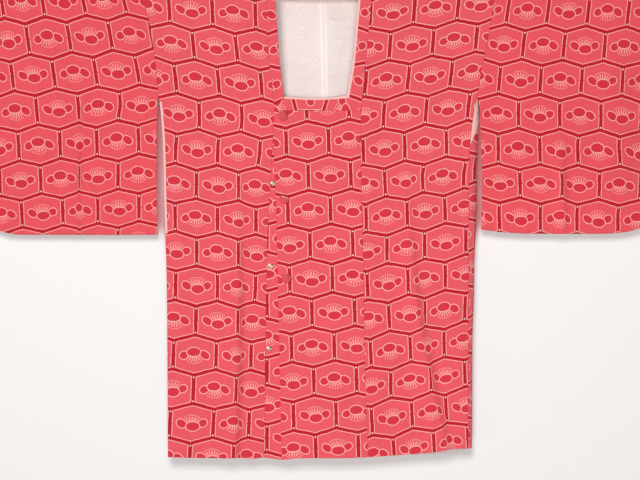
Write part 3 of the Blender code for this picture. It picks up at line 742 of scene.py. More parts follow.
# %% The crepe group
def crepe_grain():
    """Pebble height and shade from a place in metres."""
    tree, given, result = shader_group(
        "crepe_grain", [("Vector", "NodeSocketVector"), ("Pebble", "NodeSocketFloat")],
        [("Height", "NodeSocketFloat"), ("Shade", "NodeSocketFloat")])
    even = given.outputs["Vector"]
    drawn = node(tree, "ShaderNodeMapping", {"Vector": even, "Scale": (1.0, 1.0, 0.62)}).outputs[0]
    pebble, thread, cloud, patch = (
        noise(tree, place, scale, detail) - 0.5 for place, scale, detail in (
            (drawn, 780.0, 3.0), (drawn, 210.0, 2.0), (even, 9.0, 3.0), (even, 65.0, 2.0)))
    strength = Value(tree, given.outputs["Pebble"])
    height = (pebble * 0.7 + thread * 0.5) * strength
    shade = (pebble * 0.16 + thread * 0.10) * strength + cloud * 0.08 + patch * 0.10 + 1.0
    tree.links.new(height.socket, result.inputs["Height"])
    tree.links.new(shade.socket, result.inputs["Shade"])
    return tree


CREPE_GROUP = crepe_grain()


def new_material(name, roughness, **sockets):
    """A Principled material, its tree and its shader."""
    made = bpy.data.materials.new(name)
    made.use_nodes = True
    shader = made.node_tree.nodes["Principled BSDF"]
    shader.inputs["Roughness"].default_value = roughness
    for label, value in sockets.items():
        shader.inputs[label.replace("_", " ")].default_value = value
    return made, made.node_tree, shader


def shaded(tree, colour, shade):
    """A colour made lighter or darker by a shade round 1."""
    made = tree.nodes.new("ShaderNodeVectorMath")
    made.operation = "SCALE"
    tree.links.new(colour, made.inputs[0])
    tree.links.new(shade, made.inputs["Scale"])
    return made.outputs[0]


def with_crepe(tree, shader, colour, pebble, distance):
    """Lay the crepe's shade and pebble on a material."""
    crepe = node(tree, "ShaderNodeGroup", node_tree=CREPE_GROUP)
    crepe.inputs["Pebble"].default_value = pebble
    tree.links.new(own_place(tree), crepe.inputs["Vector"])
    tree.links.new(shaded(tree, colour, crepe.outputs["Shade"]), shader.inputs["Base Color"])
    raised(tree, shader, crepe.outputs["Height"], distance, 0.6)


print("crepe group:", len(CREPE_GROUP.nodes), "nodes")

# %% Printed silk
INKS = {"Ground": srgb(237, 87, 97), "Petal": srgb(219, 45, 64), "Line": srgb(255, 178, 174),
        "Pearl": srgb(255, 232, 226), "Zigzag": srgb(195, 4, 32), "Bar": srgb(190, 4, 33)}


def printed_silk(name, sheen, inks=INKS):
    """Crepe with the turtle-shell print, from the cloth's own UV map."""
    made, tree, shader = new_material(name, 0.78, Sheen_Weight=sheen, Sheen_Roughness=0.55,
                                      Specular_IOR_Level=0.28)
    place = node(tree, "ShaderNodeUVMap", uv_map="print")
    printed = node(tree, "ShaderNodeGroup", node_tree=PRINT_GROUP)
    tree.links.new(place.outputs["UV"], printed.inputs["Print"])
    printed.inputs["Waver"].default_value = 1.6
    for label, colour in inks.items():
        printed.inputs[label].default_value = colour
    with_crepe(tree, shader, printed.outputs["Color"], 1.0, 0.0004)
    return made


print(len(INKS), "inks:", ", ".join(INKS))

# %% [markdown]
# ## The lining
#
# The lining is a white figured silk. Its figure is woven, not printed: it shows only because the
# satin in it catches the light another way. So the figure drives the roughness most and the colour
# a little. It is a field of chrysanthemum heads, each a wheel of narrow petals.

# %% The figure of the lining, and the lining itself
PETAL_RING = 0.19
PRESSED_SEAM, SEAM_SLANT = 0.135, 0.008


def flower_figure():
    """A mask of chrysanthemum heads from a place on the cloth."""
    tree, given, result = shader_group("flower_figure", [("Vector", "NodeSocketVector")],
                                       [("Figure", "NodeSocketFloat")])
    cells = node(tree, "ShaderNodeTexVoronoi", {"Vector": given.outputs["Vector"], "Scale": 1.55,
                                                "Randomness": 0.6}, voronoi_dimensions="2D")
    from_heart = node(tree, "ShaderNodeVectorMath",
                      {0: given.outputs["Vector"], 1: cells.outputs["Position"]}, operation="SUBTRACT")
    part = node(tree, "ShaderNodeSeparateXYZ", {"Vector": from_heart.outputs[0]})
    u, v = Value(tree, part.outputs["X"]), Value(tree, part.outputs["Y"])
    reach = length_of(u, v)
    ring, tip = (reach / PETAL_RING).math("FLOOR"), (reach / PETAL_RING).math("FRACT")
    petal = (u.math("ARCTAN2", v) * 10.0 + ring * (math.pi / 2)).math("SINE").size()
    figure = petal * -1.3 + tip.math("POWER", 5.0) * 0.8 + 1.1
    tree.links.new(figure.math("MULTIPLY", 1.0, clamp=True).socket, result.inputs["Figure"])
    return tree


FIGURE_GROUP = flower_figure()


def lining_silk(name, colour, figure_colour):
    """White silk with a woven figure."""
    made, tree, shader = new_material(name, 0.5, Sheen_Weight=0.15, Specular_IOR_Level=0.35)
    place = node(tree, "ShaderNodeUVMap", uv_map="print")
    figure = node(tree, "ShaderNodeGroup", node_tree=FIGURE_GROUP)
    tree.links.new(place.outputs["UV"], figure.inputs["Vector"])
    mask = Value(tree, figure.outputs["Figure"])
    part = node(tree, "ShaderNodeSeparateXYZ", {"Vector": place.outputs["UV"]})
    from_seam, down = Value(tree, part.outputs["X"]).size(), Value(tree, part.outputs["Y"])
    seam = (from_seam + down * SEAM_SLANT - PRESSED_SEAM).inside(0.012)
    figured = paint(tree, mask, steady(tree, colour), steady(tree, figure_colour))
    seamed = paint(tree, seam, figured, steady(tree, srgb(253, 240, 237)))
    with_crepe(tree, shader, seamed, 0.2, 0.0002)
    tree.links.new((mask * -0.16 + 0.56).socket, shader.inputs["Roughness"])
    return made


SILK = printed_silk("printed_silk", 0.18)
# The sleeves get a copy of the silk with slightly darker inks: painted shade, so that they read a little
# darker than the body.
SHADED_SLEEVE_INKS = {**INKS, "Ground": srgb(237, 82, 92), "Line": srgb(255, 171, 167), "Petal": srgb(217, 41, 60)}
SHADED_SLEEVE_SILK = printed_silk("printed_silk_sleeves_painted_shade", 0.18, SHADED_SLEEVE_INKS)
LINING = lining_silk("lining_silk", srgb(249, 232, 229), srgb(239, 220, 217))
# A pale pink finish: the turned lining where an edge is turned over, and along the right front's open side
# also a painted highlight on the folded edge.
TURNED_EDGE_AND_HIGHLIGHT, _, turned_and_highlight_shader = new_material("turned_edge_and_highlight", 0.75, Sheen_Weight=0.2)
turned_and_highlight_shader.inputs["Base Color"].default_value = srgb(250, 196, 190)
CLOTH = (SILK, LINING, TURNED_EDGE_AND_HIGHLIGHT)
print("cloths:", ", ".join(finish.name for finish in (*CLOTH, SHADED_SLEEVE_SILK)))

# %% [markdown]
# ## The body cloths
#
# A kimono body is one long cloth for each half: it runs from the front hem over the shoulder, where
# there is no seam, and down to the back hem. Rows of points follow that run. Each row goes from the
# armhole or side seam to the neck, the band's seam or the centre-back seam.

# %% Rows over the shoulder
FINE = 5.0
ACROSS = 3.2
OVER_ROD = fold_radius * (1 - np.cos(np.radians(np.arange(80, 0, -10))))
NECK_TURN = (0, 1.5, 3, 6, 10, 14, 18, 22, 26, 30, 36, 42, 48, 54, 60, 66, 72, 78, 84)


def downward(top, bottom, step=FINE):
    """Even depths from one to another, without the last."""
    return np.linspace(top, bottom, max(2, int(round((bottom - top) / step))) + 1)[:-1]


def over_shoulder(lowest):
    """Rows up the front, over the rod and down the back, as depths and sides."""
    front = np.concatenate((downward(fold_radius, lowest - RIM[-1]), lowest - RIM[::-1]))[::-1]
    neckline = BACK_NECK_SEAM * np.sin(np.radians((*NECK_TURN, 90)))
    back = np.concatenate((neckline, downward(BACK_NECK_SEAM, lowest - RIM[-1])[1:], lowest - RIM[::-1]))
    depth = np.concatenate((front, OVER_ROD, back))
    side = np.where(np.arange(len(depth)) < len(front) + len(OVER_ROD), FRONT, BACK)
    return depth, side


print("a body cloth has", len(over_shoulder(HEM_DEPTH)[0]), "rows")


# %% Cut and hang the two body cloths
PALE_RIM_DEPTHS = (230, 500)


def body_cloth(hand):
    """One half of the body."""
    depth, side = over_shoulder(HEM_DEPTH)
    gap = OUTWARD[hand] * SEAM_GAP / 2
    outside = outer_edge(hand, depth, SIDE) - gap
    inside = np.where(side < 0, inner_edge(hand, depth), back_neckline(hand, depth)) + gap
    width = np.abs(outside - inside)
    aside = ruled(width, ACROSS)
    across = outside[:, None] - OUTWARD[hand] * aside
    sewn_side = np.where(depth > ARMHOLE_DEPTH, 1.0 if hand == "right" else SEWN, SEWN)[:, None]
    edge = np.minimum(aside * sewn_side, (width[:, None] - aside) * SEWN)
    edge = np.minimum(edge, HEM_DEPTH - depth[:, None])
    fall = hem_shift(across, depth[:, None], side[:, None])
    lift = left_lift(across, fall) * (side[:, None] < 0) if hand == "left" else 0.0
    middle = hang(across, fall, side[:, None], lift)
    print_place = print_at(PRINT["body_" + hand], across, fall, side[:, None])
    pale_rim_and_highlight = None
    # The right front's open side gets the pale finish on its rim: turned lining near the armhole, and below
    # it a painted highlight on the folded edge.
    if hand == "right":
        open_side = (depth > PALE_RIM_DEPTHS[0]) & (depth < PALE_RIM_DEPTHS[1]) & (side < 0)
        pale_rim_and_highlight = 2 * (open_side[1:, None] & open_side[:-1, None] & (aside[:-1, 1:] < RIM[-1] + 0.1))
    piece = cloth("coat_body_" + hand, middle, edge, whole(print_place), CLOTH, lined=pale_rim_and_highlight)
    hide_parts("body_" + hand)
    return piece


for hand in ("right", "left"):
    made = body_cloth(hand)
    print(made.name, len(made.data.vertices), "points")

# %% [markdown]
# ## The front bands
#
# Each front ends in a band, a straight strip that is sewn on below the collar. The wearer's left
# band lies on top and carries the buttons. The right one is under it and carries the snaps; only a
# finger's width of it shows.

# %% The two bands
def front_band(hand, first, second, lift):
    """A band between two edges, from the collar's strip down to the hem."""
    top = NECK_SEAM_DEPTH + SEAM_GAP / 2
    depth = np.concatenate((top + RIM, downward(top + RIM[-1], HEM_DEPTH - RIM[-1])[1:],
                            HEM_DEPTH - RIM[::-1]))
    start, width = first(depth), second(depth) - first(depth)
    aside = ruled(width, FINE)
    across = start[:, None] + aside
    sewn_first, sewn_last = (1.5, 1.0) if hand == "right" else (1.0, SEWN)
    edge = np.minimum(np.minimum(aside * sewn_first, (width[:, None] - aside) * sewn_last),
                      np.minimum((depth - top) * SEWN, HEM_DEPTH - depth)[:, None])
    fall = hem_shift(across, depth[:, None], FRONT)
    piece = cloth("coat_band_" + hand, hang(across, fall, FRONT, lift), edge,
                  whole(print_at(PRINT["band_" + hand], across, fall)), CLOTH)
    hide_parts("band_" + hand)
    print(piece.name, f"{width.mean():.0f} mm wide")
    return piece


front_band("right", lambda depth: read(BAND_SEAM["right"], depth) + SEAM_GAP / 2,
           lambda depth: read(BAND_SEAM["left"], depth) - UNDER_BAND_SHORT, 0.0)
front_band("left", lambda depth: read(TOP_BAND_EDGE, depth),
           lambda depth: read(BAND_SEAM["left"], depth) - SEAM_GAP / 2, LAYER_STEP)

# %% [markdown]
# ## The collar
#
# A narrow strip frames the square neck. It starts at the left front's corner, runs along the top of
# that front, turns up to the shoulder, goes round the back, comes down the right side and ends
# under the left front. Each station across it has a point on the seam and one on the folded edge.
# The strip along the front is cut the other way of the cloth, so its print lies on its side.

# %% The collar's stations
SEAM_LINE = NECK_SEAM_DEPTH - SEAM_GAP / 2


def stations(across, depth, side, lift):
    """Rows of (across, depth, side, lift), one for each station."""
    return joined(across, depth, side, lift).astype(float)


def collar_side(hand, rows):
    """Stations of one side from the front's corner to the middle of the back: seam and fold."""
    half_gap = OUTWARD[hand] * SEAM_GAP / 2
    corner = COLLAR_FRONT[-1][0] if hand == "left" else COLLAR_EDGE["right"][-1][1]
    low = COLLAR_EDGE[hand][-1][0]
    seam_at, fold_at = np.linspace(SEAM_LINE, fold_radius, rows), np.linspace(low, fold_radius, rows)
    lift = left_lift(0.0, seam_at) if hand == "left" else 0.0
    back = np.radians((*NECK_TURN, 88))
    seam_back = BACK_NECK_SEAM * np.sin(back)
    fold_back = mix(read(COLLAR_EDGE[hand], 0.0), read(BACK_SEAM, 0.0), 1 - np.cos(back))
    seam = np.concatenate((
        stations(read(NECK[hand], seam_at) - half_gap, seam_at, FRONT, lift),
        stations(read(NECK[hand], OVER_ROD) - half_gap, OVER_ROD, FRONT, 0.0),
        stations(back_neckline(hand, seam_back) - half_gap, seam_back - SEAM_GAP * np.sin(back), BACK, 0.0)))
    fold = np.concatenate((
        stations(read(COLLAR_EDGE[hand], fold_at), fold_at, FRONT, lift),
        stations(read(COLLAR_EDGE[hand], OVER_ROD), OVER_ROD, FRONT, 0.0),
        stations(fold_back, BACK_NECK_EDGE * np.sin(back), BACK, 0.0)))
    fold[0, 0] = corner
    return seam, fold


def collar_front(start, end, corner_from, seam_end, lift):
    """Stations along the top of a front, with the last of them fanned out into the mitre."""
    table = np.array(COLLAR_FRONT)
    span = end - start
    fold_x = start + np.sign(span) * np.concatenate((RIM, np.linspace(RIM[-1], abs(span), 36)[1:]))
    fold_d = np.interp(fold_x, table[:, 0], table[:, 1])
    past = np.clip((fold_x - corner_from) / (end - corner_from), 0.0, None) if seam_end else 0.0
    seam_x = fold_x + (past * (seam_end - end) if seam_end else 0.0)
    return stations(seam_x, SEAM_LINE, FRONT, lift), stations(fold_x, fold_d, FRONT, lift)


print("the collar's seam runs", SEAM_LINE, "mm down")

# %% [markdown]
# The strip is one piece of cloth from end to end, so its four runs are joined in one grid. Where the
# coat's left front ends at the neck, the fold shows its pale inside, so the fold is moved out by
# that edge's width and the last columns get the paler finish.

# %% Sew the collar together
PALE_EDGE = 4.4
PALE_FROM = -76
PALE_SHARE = 0.83
COLLAR_ROWS = 44
MITRE_FROM = 36.0
left_seam_x = read(NECK["left"], SEAM_LINE) - SEAM_GAP / 2
top_seam, top_fold = collar_front(COLLAR_FRONT[0][0], COLLAR_FRONT[-1][0], MITRE_FROM, left_seam_x,
                                  LAYER_STEP)
left_seam, left_fold = collar_side("left", COLLAR_ROWS)
right_seam, right_fold = collar_side("right", COLLAR_ROWS)
under_seam, under_fold = collar_front(COLLAR_UNDER_END[0], -70.0, 0.0, None, 0.0)
top_start, corner, low = top_fold[0, 0], top_fold[-1, 0], left_fold[0, 1]
top_fold[:, 0] = mix(top_start, corner - PALE_EDGE, (top_fold[:, 0] - top_start) / (corner - top_start))
top_fold[:, 1] -= PALE_EDGE * smooth((top_fold[:, 0] - PALE_FROM) / 6)
hangs = (left_fold[:, 2] < 0) & (left_fold[:, 1] > fold_radius)
left_fold[:, 0] -= PALE_EDGE * smooth((left_fold[:, 1] - 5) / 20) * (left_fold[:, 2] < 0)
left_fold[hangs, 1] -= PALE_EDGE * (left_fold[hangs, 1] - fold_radius) / (low - fold_radius)
seam_row = np.concatenate((top_seam[:-1], left_seam, right_seam[::-1], under_seam[::-1][1:]))
fold_row = np.concatenate((top_fold[:-1], left_fold, right_fold[::-1], under_fold[::-1][1:]))

strip_width = 20.0
shares = np.unique(np.append(ruled(strip_width, 3.0)[0] / strip_width, PALE_SHARE))
collar_place = seam_row[:, None, :] + (fold_row - seam_row)[:, None, :] * shares[None, :, None]
across, depth, side, lift = np.moveaxis(collar_place, -1, 0)
side = np.repeat(seam_row[:, 2:3], len(shares), axis=1)
across_strip = np.minimum(shares * SEWN, 1 - shares) * strip_width
to_end = np.full(len(seam_row), FAR)
to_end[:len(RIM)], to_end[-len(RIM):] = RIM, RIM[::-1]
edge = np.minimum(across_strip[None, :], to_end[:, None])
parts, first = [], 0
for count, grid in ((len(top_seam) - 1, "collar_front"), (len(left_seam), "collar_left"),
                    (len(right_seam), "collar_right"), (len(under_seam) - 1, "collar_front")):
    parts.append((first, first + count, print_at(PRINT[grid], across, depth, side)))
    first += count
shows_pale = np.arange(len(seam_row)) < len(top_seam) + int(hangs.sum())
shows_pale[:len(top_fold)] &= top_fold[:, 0] > PALE_FROM + 3
pale = 2 * (shows_pale[:-1, None] & (shares[None, :-1] > PALE_SHARE - 0.001))
collar = cloth("coat_collar", hang(across, depth, side, lift), edge, parts, CLOTH, lined=pale)
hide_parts("collar")
collar_length = np.linalg.norm(np.diff(hang(*seam_row.T), axis=0), axis=-1).sum() * MM
print(f"collar strip {collar_length:.2f} m long")

# %% [markdown]
# ## The side gores
#
# Under each arm a narrow panel joins the front to the back. The left one bulges out beside the
# front's edge. The right one is tucked behind it and hardly shows. At the left gore's top the edge
# is turned over and shows pale, down to `TURNED_TO`: its depth at the front and at the outermost
# point. Below `EVEN_BELOW` the rows lie level again.

# %% The two gores
GORE_PRINT = (21.5, 12.5)
TURNED_TO = (322.0, 274.0)
EVEN_BELOW = 500
GORE_AROUND = 46.0
GORE_CLEAR, GORE_TUCK = 0.3, 6.0


def gore(hand):
    """A narrow panel that turns from the front's edge to the back's."""
    top = GORE_TOP[hand]
    front, outermost = TURNED_TO
    down = np.concatenate((top + RIM, downward(top + RIM[-1], front)[1:], downward(front, EVEN_BELOW),
                           downward(EVEN_BELOW, HEM_DEPTH - RIM[-1]), HEM_DEPTH - RIM[::-1]))[:, None]
    share = ruled(GORE_AROUND, ACROSS)[0][None, :] / GORE_AROUND
    turn = np.pi * share
    depth = down + 0 * share
    if hand == "left":
        edge_line = mix(front, outermost, np.sin(np.minimum(turn, np.pi / 2)))
        above = top + (down - top) * (edge_line - top) / (front - top)
        below = edge_line + (down - front) * (EVEN_BELOW - edge_line) / (EVEN_BELOW - front)
        depth = np.where(down < front, above, np.where(down < EVEN_BELOW, below, down))
    stand = read(BODY_DEPTH, depth)
    if hand == "left":
        across = read(SIDE["left"], depth) + GORE_CLEAR + read(GORE_BULGE, depth) * np.sin(turn)
        reach = stand
    else:
        across = read(SIDE["right"], depth) + WALL / 2 + GORE_TUCK * np.sin(turn)
        reach = stand - WALL - SEAM_GAP
    fall = hem_shift(across, depth, FRONT)
    middle = joined(across, -reach * np.cos(turn), fold_radius - fall - rod_drop)
    edge = np.minimum(share, 1 - share) * GORE_AROUND * SEWN
    edge = np.minimum(edge, np.minimum(depth - top, HEM_DEPTH - depth))
    along = read(SIDE[hand], depth) + OUTWARD[hand] * (GORE_AROUND * share - GORE_PRINT[0])
    print_place = print_at(PRINT["body_" + hand], along, fall + GORE_PRINT[1])
    turned_out = 2 * ((down[:-1] < front - 0.1) & (share[:, 1:] < 0.6)) if hand == "left" else None
    piece = cloth("coat_gore_" + hand, middle, edge, whole(print_place), CLOTH, lined=turned_out)
    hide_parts("gore_" + hand)


for hand in ("right", "left"):
    gore(hand)

# %% [markdown]
# ## The sleeves
#
# A sleeve is a bag that hangs over the rod. It is open towards the body all the way down, open at
# the cuff as far as the hand needs, and sewn shut below that, round a soft corner and along the
# bottom. Two skins are worked out with one rule, the printed one outside and the lining inside.
# Where an edge is open the skins of one wall meet; where it is sewn the front meets the back.
#
# The lower end of a sleeve hangs free. It swings out from the wall by `SLEEVE_SWING`, and its last
# few centimetres curl back in: `SLEEVE_CURL` gives how high the curl starts, how far in it comes
# and how late it bends. The sewn corner is a quarter of an oval, `SLEEVE_CORNER` wide and tall.

# %% The sleeves' ring of rows and their columns
SLEEVE_ROUND = 4.0
SLEEVE_BEHIND = 4.0
SLEEVE_CORNER = {"right": (60.0, 24.0), "left": (84.0, 27.0)}
SLEEVE_SWING = {"right": 6.0, "left": 9.0}
SLEEVE_CURL = {"right": (73.0, 8.5, 1.2), "left": (72.0, 7.5, 1.5)}
SWING_FROM, SWING_RUN = 250, 170
CLOSE_FROM, CLOSE_RUN = 300, 190
TUCK_RUN = 40
MOUTH_SHARE = 0.75
BOTTOM_RIM = np.array((0.0, 0.3, 1.0, 2.2, 4.0))


def sleeve_rows():
    """Rows round a sleeve as (fixed part of the depth, share of the bottom's depth, side)."""
    lower = np.linspace(1.0, 0.0, int((500 - NECK_SEAM_DEPTH) / FINE))
    base = np.concatenate((-BOTTOM_RIM, mix(NECK_SEAM_DEPTH, -BOTTOM_RIM[-1], lower)[1:]))
    gain = np.concatenate((np.ones(len(BOTTOM_RIM)), lower[1:]))
    upper = np.concatenate((downward(CUFF_DEPTH, NECK_SEAM_DEPTH)[::-1],
                            downward(fold_radius, CUFF_DEPTH)[::-1], OVER_ROD))
    half_base, half_gain = np.concatenate((base, upper)), np.concatenate((gain, np.zeros(len(upper))))
    base = np.concatenate((half_base, [0.0], half_base[::-1]))
    gain = np.concatenate((half_gain, [0.0], half_gain[::-1]))
    side = np.where(np.arange(len(base)) <= len(half_base), FRONT, BACK)
    return base[:, None], gain[:, None], side[:, None]


def sleeve_skin(hand, outside):
    """The points and the print of one skin of a sleeve."""
    base, gain, side = sleeve_rows()
    outward = OUTWARD[hand]
    opening, end = SLEEVE_OPENING[hand][-1][1], SLEEVE_END[hand][-1][1]
    width = abs(end - opening)
    wide, tall = SLEEVE_CORNER[hand]
    corner = np.radians(np.arange(10, 71, 10))
    aside = np.concatenate((RIM, downward(RIM[-1], width - wide, ACROSS)[1:],
                            width - wide * (1 - np.sin(corner)), width - RIM[::-1]))[None, :]
    share = aside / width
    inset = 0.0 if outside else (WALL + SEAM_GAP) * smooth(aside / 6)
    straight = read(SLEEVE_BOTTOM, mix(opening, end, share)) - inset
    past = np.clip(1 - (width - aside) / wide, 0.0, 1.0)
    bottom = straight - tall * (1 - np.sqrt(1 - past ** 2))
    depth = base + gain * bottom
    sewn = depth > CUFF_DEPTH + 0.5
    far_inset = 0.0 if outside else (WALL + SEAM_GAP) * sewn
    near = outer_edge(hand, depth, SLEEVE_OPENING) + outward * SEAM_GAP / 2
    tucked = SLEEVE_BEHIND * smooth((depth - CUFF_DEPTH) / TUCK_RUN) * smooth((bottom - depth) / TUCK_RUN)
    near = near + outward * np.where(side > 0, tucked, 0.0)
    across = mix(near, read(SLEEVE_END[hand], depth) - outward * far_inset, share)

    to_end = (width - aside) + FAR * ~sewn
    to_bottom = straight - depth
    in_x, in_y = 1 - to_end / wide, 1 - to_bottom / tall
    reach = np.hypot(in_x, in_y)
    rounded = (1 - reach) * reach / np.maximum(np.hypot(in_x / wide, in_y / tall), 0.001)
    closing = np.where((in_x > 0) & (in_y > 0), rounded, np.minimum(to_end, to_bottom))
    closed = roundness(np.maximum(closing, 0.0), SLEEVE_ROUND)
    opened = roundness(np.minimum(aside, (width - aside) + FAR * sewn), WALL / 2)

    hollow = read(SLEEVE_HOLLOW, depth)
    mouth = np.maximum(SLEEVE_HOLLOW[-1][1], fold_radius * (1 - depth / CUFF_DEPTH))
    hollow = mix(hollow, np.minimum(hollow, mouth), smooth((share - MOUTH_SHARE) / (1 - MOUTH_SHARE)))
    skin = WALL / 2 * opened * (1 if outside else -1)
    half = (hollow + WALL / 2 + skin) * closed
    together = np.maximum(smooth((depth - CLOSE_FROM) / CLOSE_RUN), 1 - closed)
    ease = smooth((depth - fold_radius) / FADE_IN)
    fronts, backs = relief(across, depth, FRONT) * ease, relief(across, depth, BACK) * ease
    y = np.where(side < 0, together * backs - half - fronts, half + backs - together * fronts)
    curl_from, curl_in, power = SLEEVE_CURL[hand]
    y = y - SLEEVE_SWING[hand] * smooth((depth - SWING_FROM) / SWING_RUN)
    y = y + curl_in * np.clip(1 - to_bottom / curl_from, 0.0, 1.0) ** power
    hanging = joined(across, y, fold_radius - depth - rod_drop)
    folded = hang(across, depth, side, skin)
    points = np.where((depth < fold_radius)[..., None], folded, hanging)
    return points, print_at(PRINT["sleeve_" + hand], across, depth, side)


print("a sleeve's ring has", len(sleeve_rows()[0]), "rows")


# %% Sew the sleeves
def sleeve(hand):
    """Both skins of a sleeve, merged along their edges."""
    outer, outer_print = sleeve_skin(hand, True)
    inner, inner_print = sleeve_skin(hand, False)
    rows, columns = outer.shape[:2]
    faces = quads(np.arange(rows * columns).reshape(rows, columns))
    turned = (3, 2, 1, 0) if hand == "right" else (0, 1, 2, 3)
    all_faces = np.concatenate((faces[:, turned], faces[:, turned[::-1]] + rows * columns))
    places = np.concatenate((outer_print.reshape(-1, 2)[faces[:, turned]],
                             inner_print.reshape(-1, 2)[faces[:, turned[::-1]]]))
    uses = np.repeat((0, 1), len(faces))
    points = np.concatenate((outer.reshape(-1, 3), inner.reshape(-1, 3)))
    piece = piece_from("coat_sleeve_" + hand, points, all_faces, (SHADED_SLEEVE_SILK, LINING), uses, places)
    form = bmesh.new()
    form.from_mesh(piece.data)
    bmesh.ops.remove_doubles(form, verts=form.verts, dist=0.00001)
    open_edges = [edge for edge in form.edges if edge.is_boundary]
    bmesh.ops.holes_fill(form, edges=open_edges, sides=6)
    form.to_mesh(piece.data)
    still_open = sum(edge.is_boundary for edge in form.edges)
    form.free()
    piece.data.shade_smooth()
    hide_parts("sleeve_" + hand)
    print(piece.name, len(piece.data.vertices), "points,", still_open, "open edges")
    return piece


for hand in ("right", "left"):
    sleeve(hand)

# %% [markdown]
# ## The lining in the neck
#
# Through the neck one looks at the inside of the back: two halves of lining, the pressed-open seam
# between them, and the collar's facing across the top. The lining is cut with some ease, so below
# the neck it hangs a few millimetres looser than the silk, and its creases are its own.

# %% The two halves of the back lining
LINING_WALL = 1.0
LINING_DEPTH = 300.0
LINING_REACH = 114.0
LINING_STEP = 2.2
LINING_IN = -(1.0 + SEAM_GAP + LINING_WALL / 2)
FIGURE_SIZE = 60
EASE_TOP, EASE_LOW = 4.0, 8.0


def back_lining(hand):
    """Half the back lining, as far as the neck shows it."""
    gap = OUTWARD[hand] * SEAM_GAP / 2
    neckline = BACK_NECK_SEAM * np.sin(np.radians((33, 37, 41, 46, 52, 58, 64, 72, 80)))
    depth = np.concatenate((neckline, downward(BACK_NECK_SEAM, LINING_DEPTH - RIM[-1], LINING_STEP),
                            LINING_DEPTH - RIM[::-1]))
    outside = OUTWARD[hand] * LINING_REACH
    inside = back_neckline(hand, depth) + gap
    width = np.abs(outside - inside)
    aside = ruled(width, LINING_STEP)
    across = outside - OUTWARD[hand] * aside
    edge = np.minimum(np.minimum(aside, (width[:, None] - aside) * 8), (LINING_DEPTH - depth)[:, None])
    edge = np.minimum(edge, (depth - depth[0])[:, None])
    from_seam = np.abs(across - read(BACK_SEAM, depth)[:, None])
    pressed = 0.5 * (1 - smooth((from_seam - 6.0) / 2.0)) * (depth[:, None] > BACK_NECK_SEAM)
    loose = EASE_TOP + EASE_LOW * smooth((depth[:, None] - 150) / 80) - relief(across, depth[:, None], INSIDE)
    pressed = pressed + loose * smooth((depth[:, None] - 20) / 50)
    middle = hang(across, depth[:, None], BACK, LINING_IN - pressed)
    place = joined(across - read(BACK_SEAM, depth)[:, None], depth[:, None]) / FIGURE_SIZE
    piece = cloth("coat_lining_" + hand, middle, edge, whole(place), (LINING, LINING), wall=LINING_WALL)
    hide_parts("lining_" + hand)
    print(piece.name, len(piece.data.vertices), "points")
    return piece


for hand in ("right", "left"):
    back_lining(hand)

# %% [markdown]
# ## Buttons and snaps
#
# The buttons are domes covered with the same print on a darker ground, so each shows another bit of
# the print. The snaps that hold the coat shut are small nickel cups on the under band.

# %% Round pieces that face the viewer
BUTTONS = ((-74.4, 261.4), (-71.2, 428.6), (-67.0, 586.0))
SNAPS = ((-94.2, 396.6), (-98.4, 562.0), (-102.2, 727.0))


def turned_piece(name, profile, seat, segments, finish, place=None, ripple=None):
    """A profile of (radius, height) turned about the line towards the viewer, on its seat."""
    turn = np.linspace(0, 2 * np.pi, segments, endpoint=False)
    radius, height = np.array(profile).T
    waves = np.zeros((len(radius), segments)) if ripple is None else ripple(radius[:, None], turn[None, :])
    ring = joined(radius[:, None] * np.cos(turn), -(height[:, None] + waves), radius[:, None] * np.sin(turn))
    points = ring.reshape(-1, 3) + np.array(seat)
    numbers = np.arange(len(points)).reshape(len(radius), segments)
    numbers = np.concatenate((numbers, numbers[:, :1]), axis=1)
    faces = quads(numbers)
    flat = (ring.reshape(-1, 3)[:, (0, 2)] / (COLUMN, -ROW)) + (place or (0, 0))
    piece = piece_from(name, points, faces, [finish], np.zeros(len(faces)), flat[faces])
    form = bmesh.new()
    form.from_mesh(piece.data)
    bmesh.ops.remove_doubles(form, verts=form.verts, dist=0.000002)
    bmesh.ops.recalc_face_normals(form, faces=form.faces)
    form.to_mesh(piece.data)
    form.free()
    piece.data.shade_smooth()
    return piece


print(len(BUTTONS), "buttons and", len(SNAPS), "snaps")

# %% The covered buttons
# The buttons' silk has a darker ground than the coat's.
COVERED = printed_silk("covered_button", 0.04, {**INKS, "Ground": srgb(221, 80, 90)})
BUTTON_PLACES = ((0.305, 0.262), (0.30, -0.35), (0.30, 0.265))
GATHERS, GATHER_HEIGHT = 17, 0.12


def gathers(radius, turn):
    """Small gathers where the silk is drawn in at the rim."""
    return GATHER_HEIGHT * np.sin(turn * GATHERS) * smooth((radius - 7.8) / 1.6)


for number, ((across, depth), place) in enumerate(zip(BUTTONS, BUTTON_PLACES), 1):
    dome = [(0.0, 7.2)]
    for degrees in range(8, 81, 8):
        dome.append((9.5 * math.sin(math.radians(degrees)), 2.7 + 4.5 * math.cos(math.radians(degrees))))
    dome += [(9.48, 2.9), (9.5, 2.4), (9.1, 1.5), (8.4, 0.7), (7.4, 0.1), (6.6, 0.0), (0.0, 0.0)]
    seat = hang(across, depth, FRONT, LAYER_STEP + WALL / 2 + SEAM_GAP)
    piece = turned_piece(f"button_cover_{number}", dome, seat, 48, COVERED, place, gathers)
    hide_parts(f"button_{number}")
    print(piece.name, len(piece.data.polygons), "faces")

# %% The snaps
def nickel(name, colour, roughness):
    """Worn metal with a fine unevenness."""
    made, tree, shader = new_material(name, roughness, Metallic=1.0)
    value = noise(tree, own_place(tree), 900.0, 3.0)
    shade = (value * 0.25 + 0.87).socket
    tree.links.new(shaded(tree, steady(tree, colour), shade), shader.inputs["Base Color"])
    tree.links.new((value * 0.3 + roughness - 0.15).socket, shader.inputs["Roughness"])
    return made


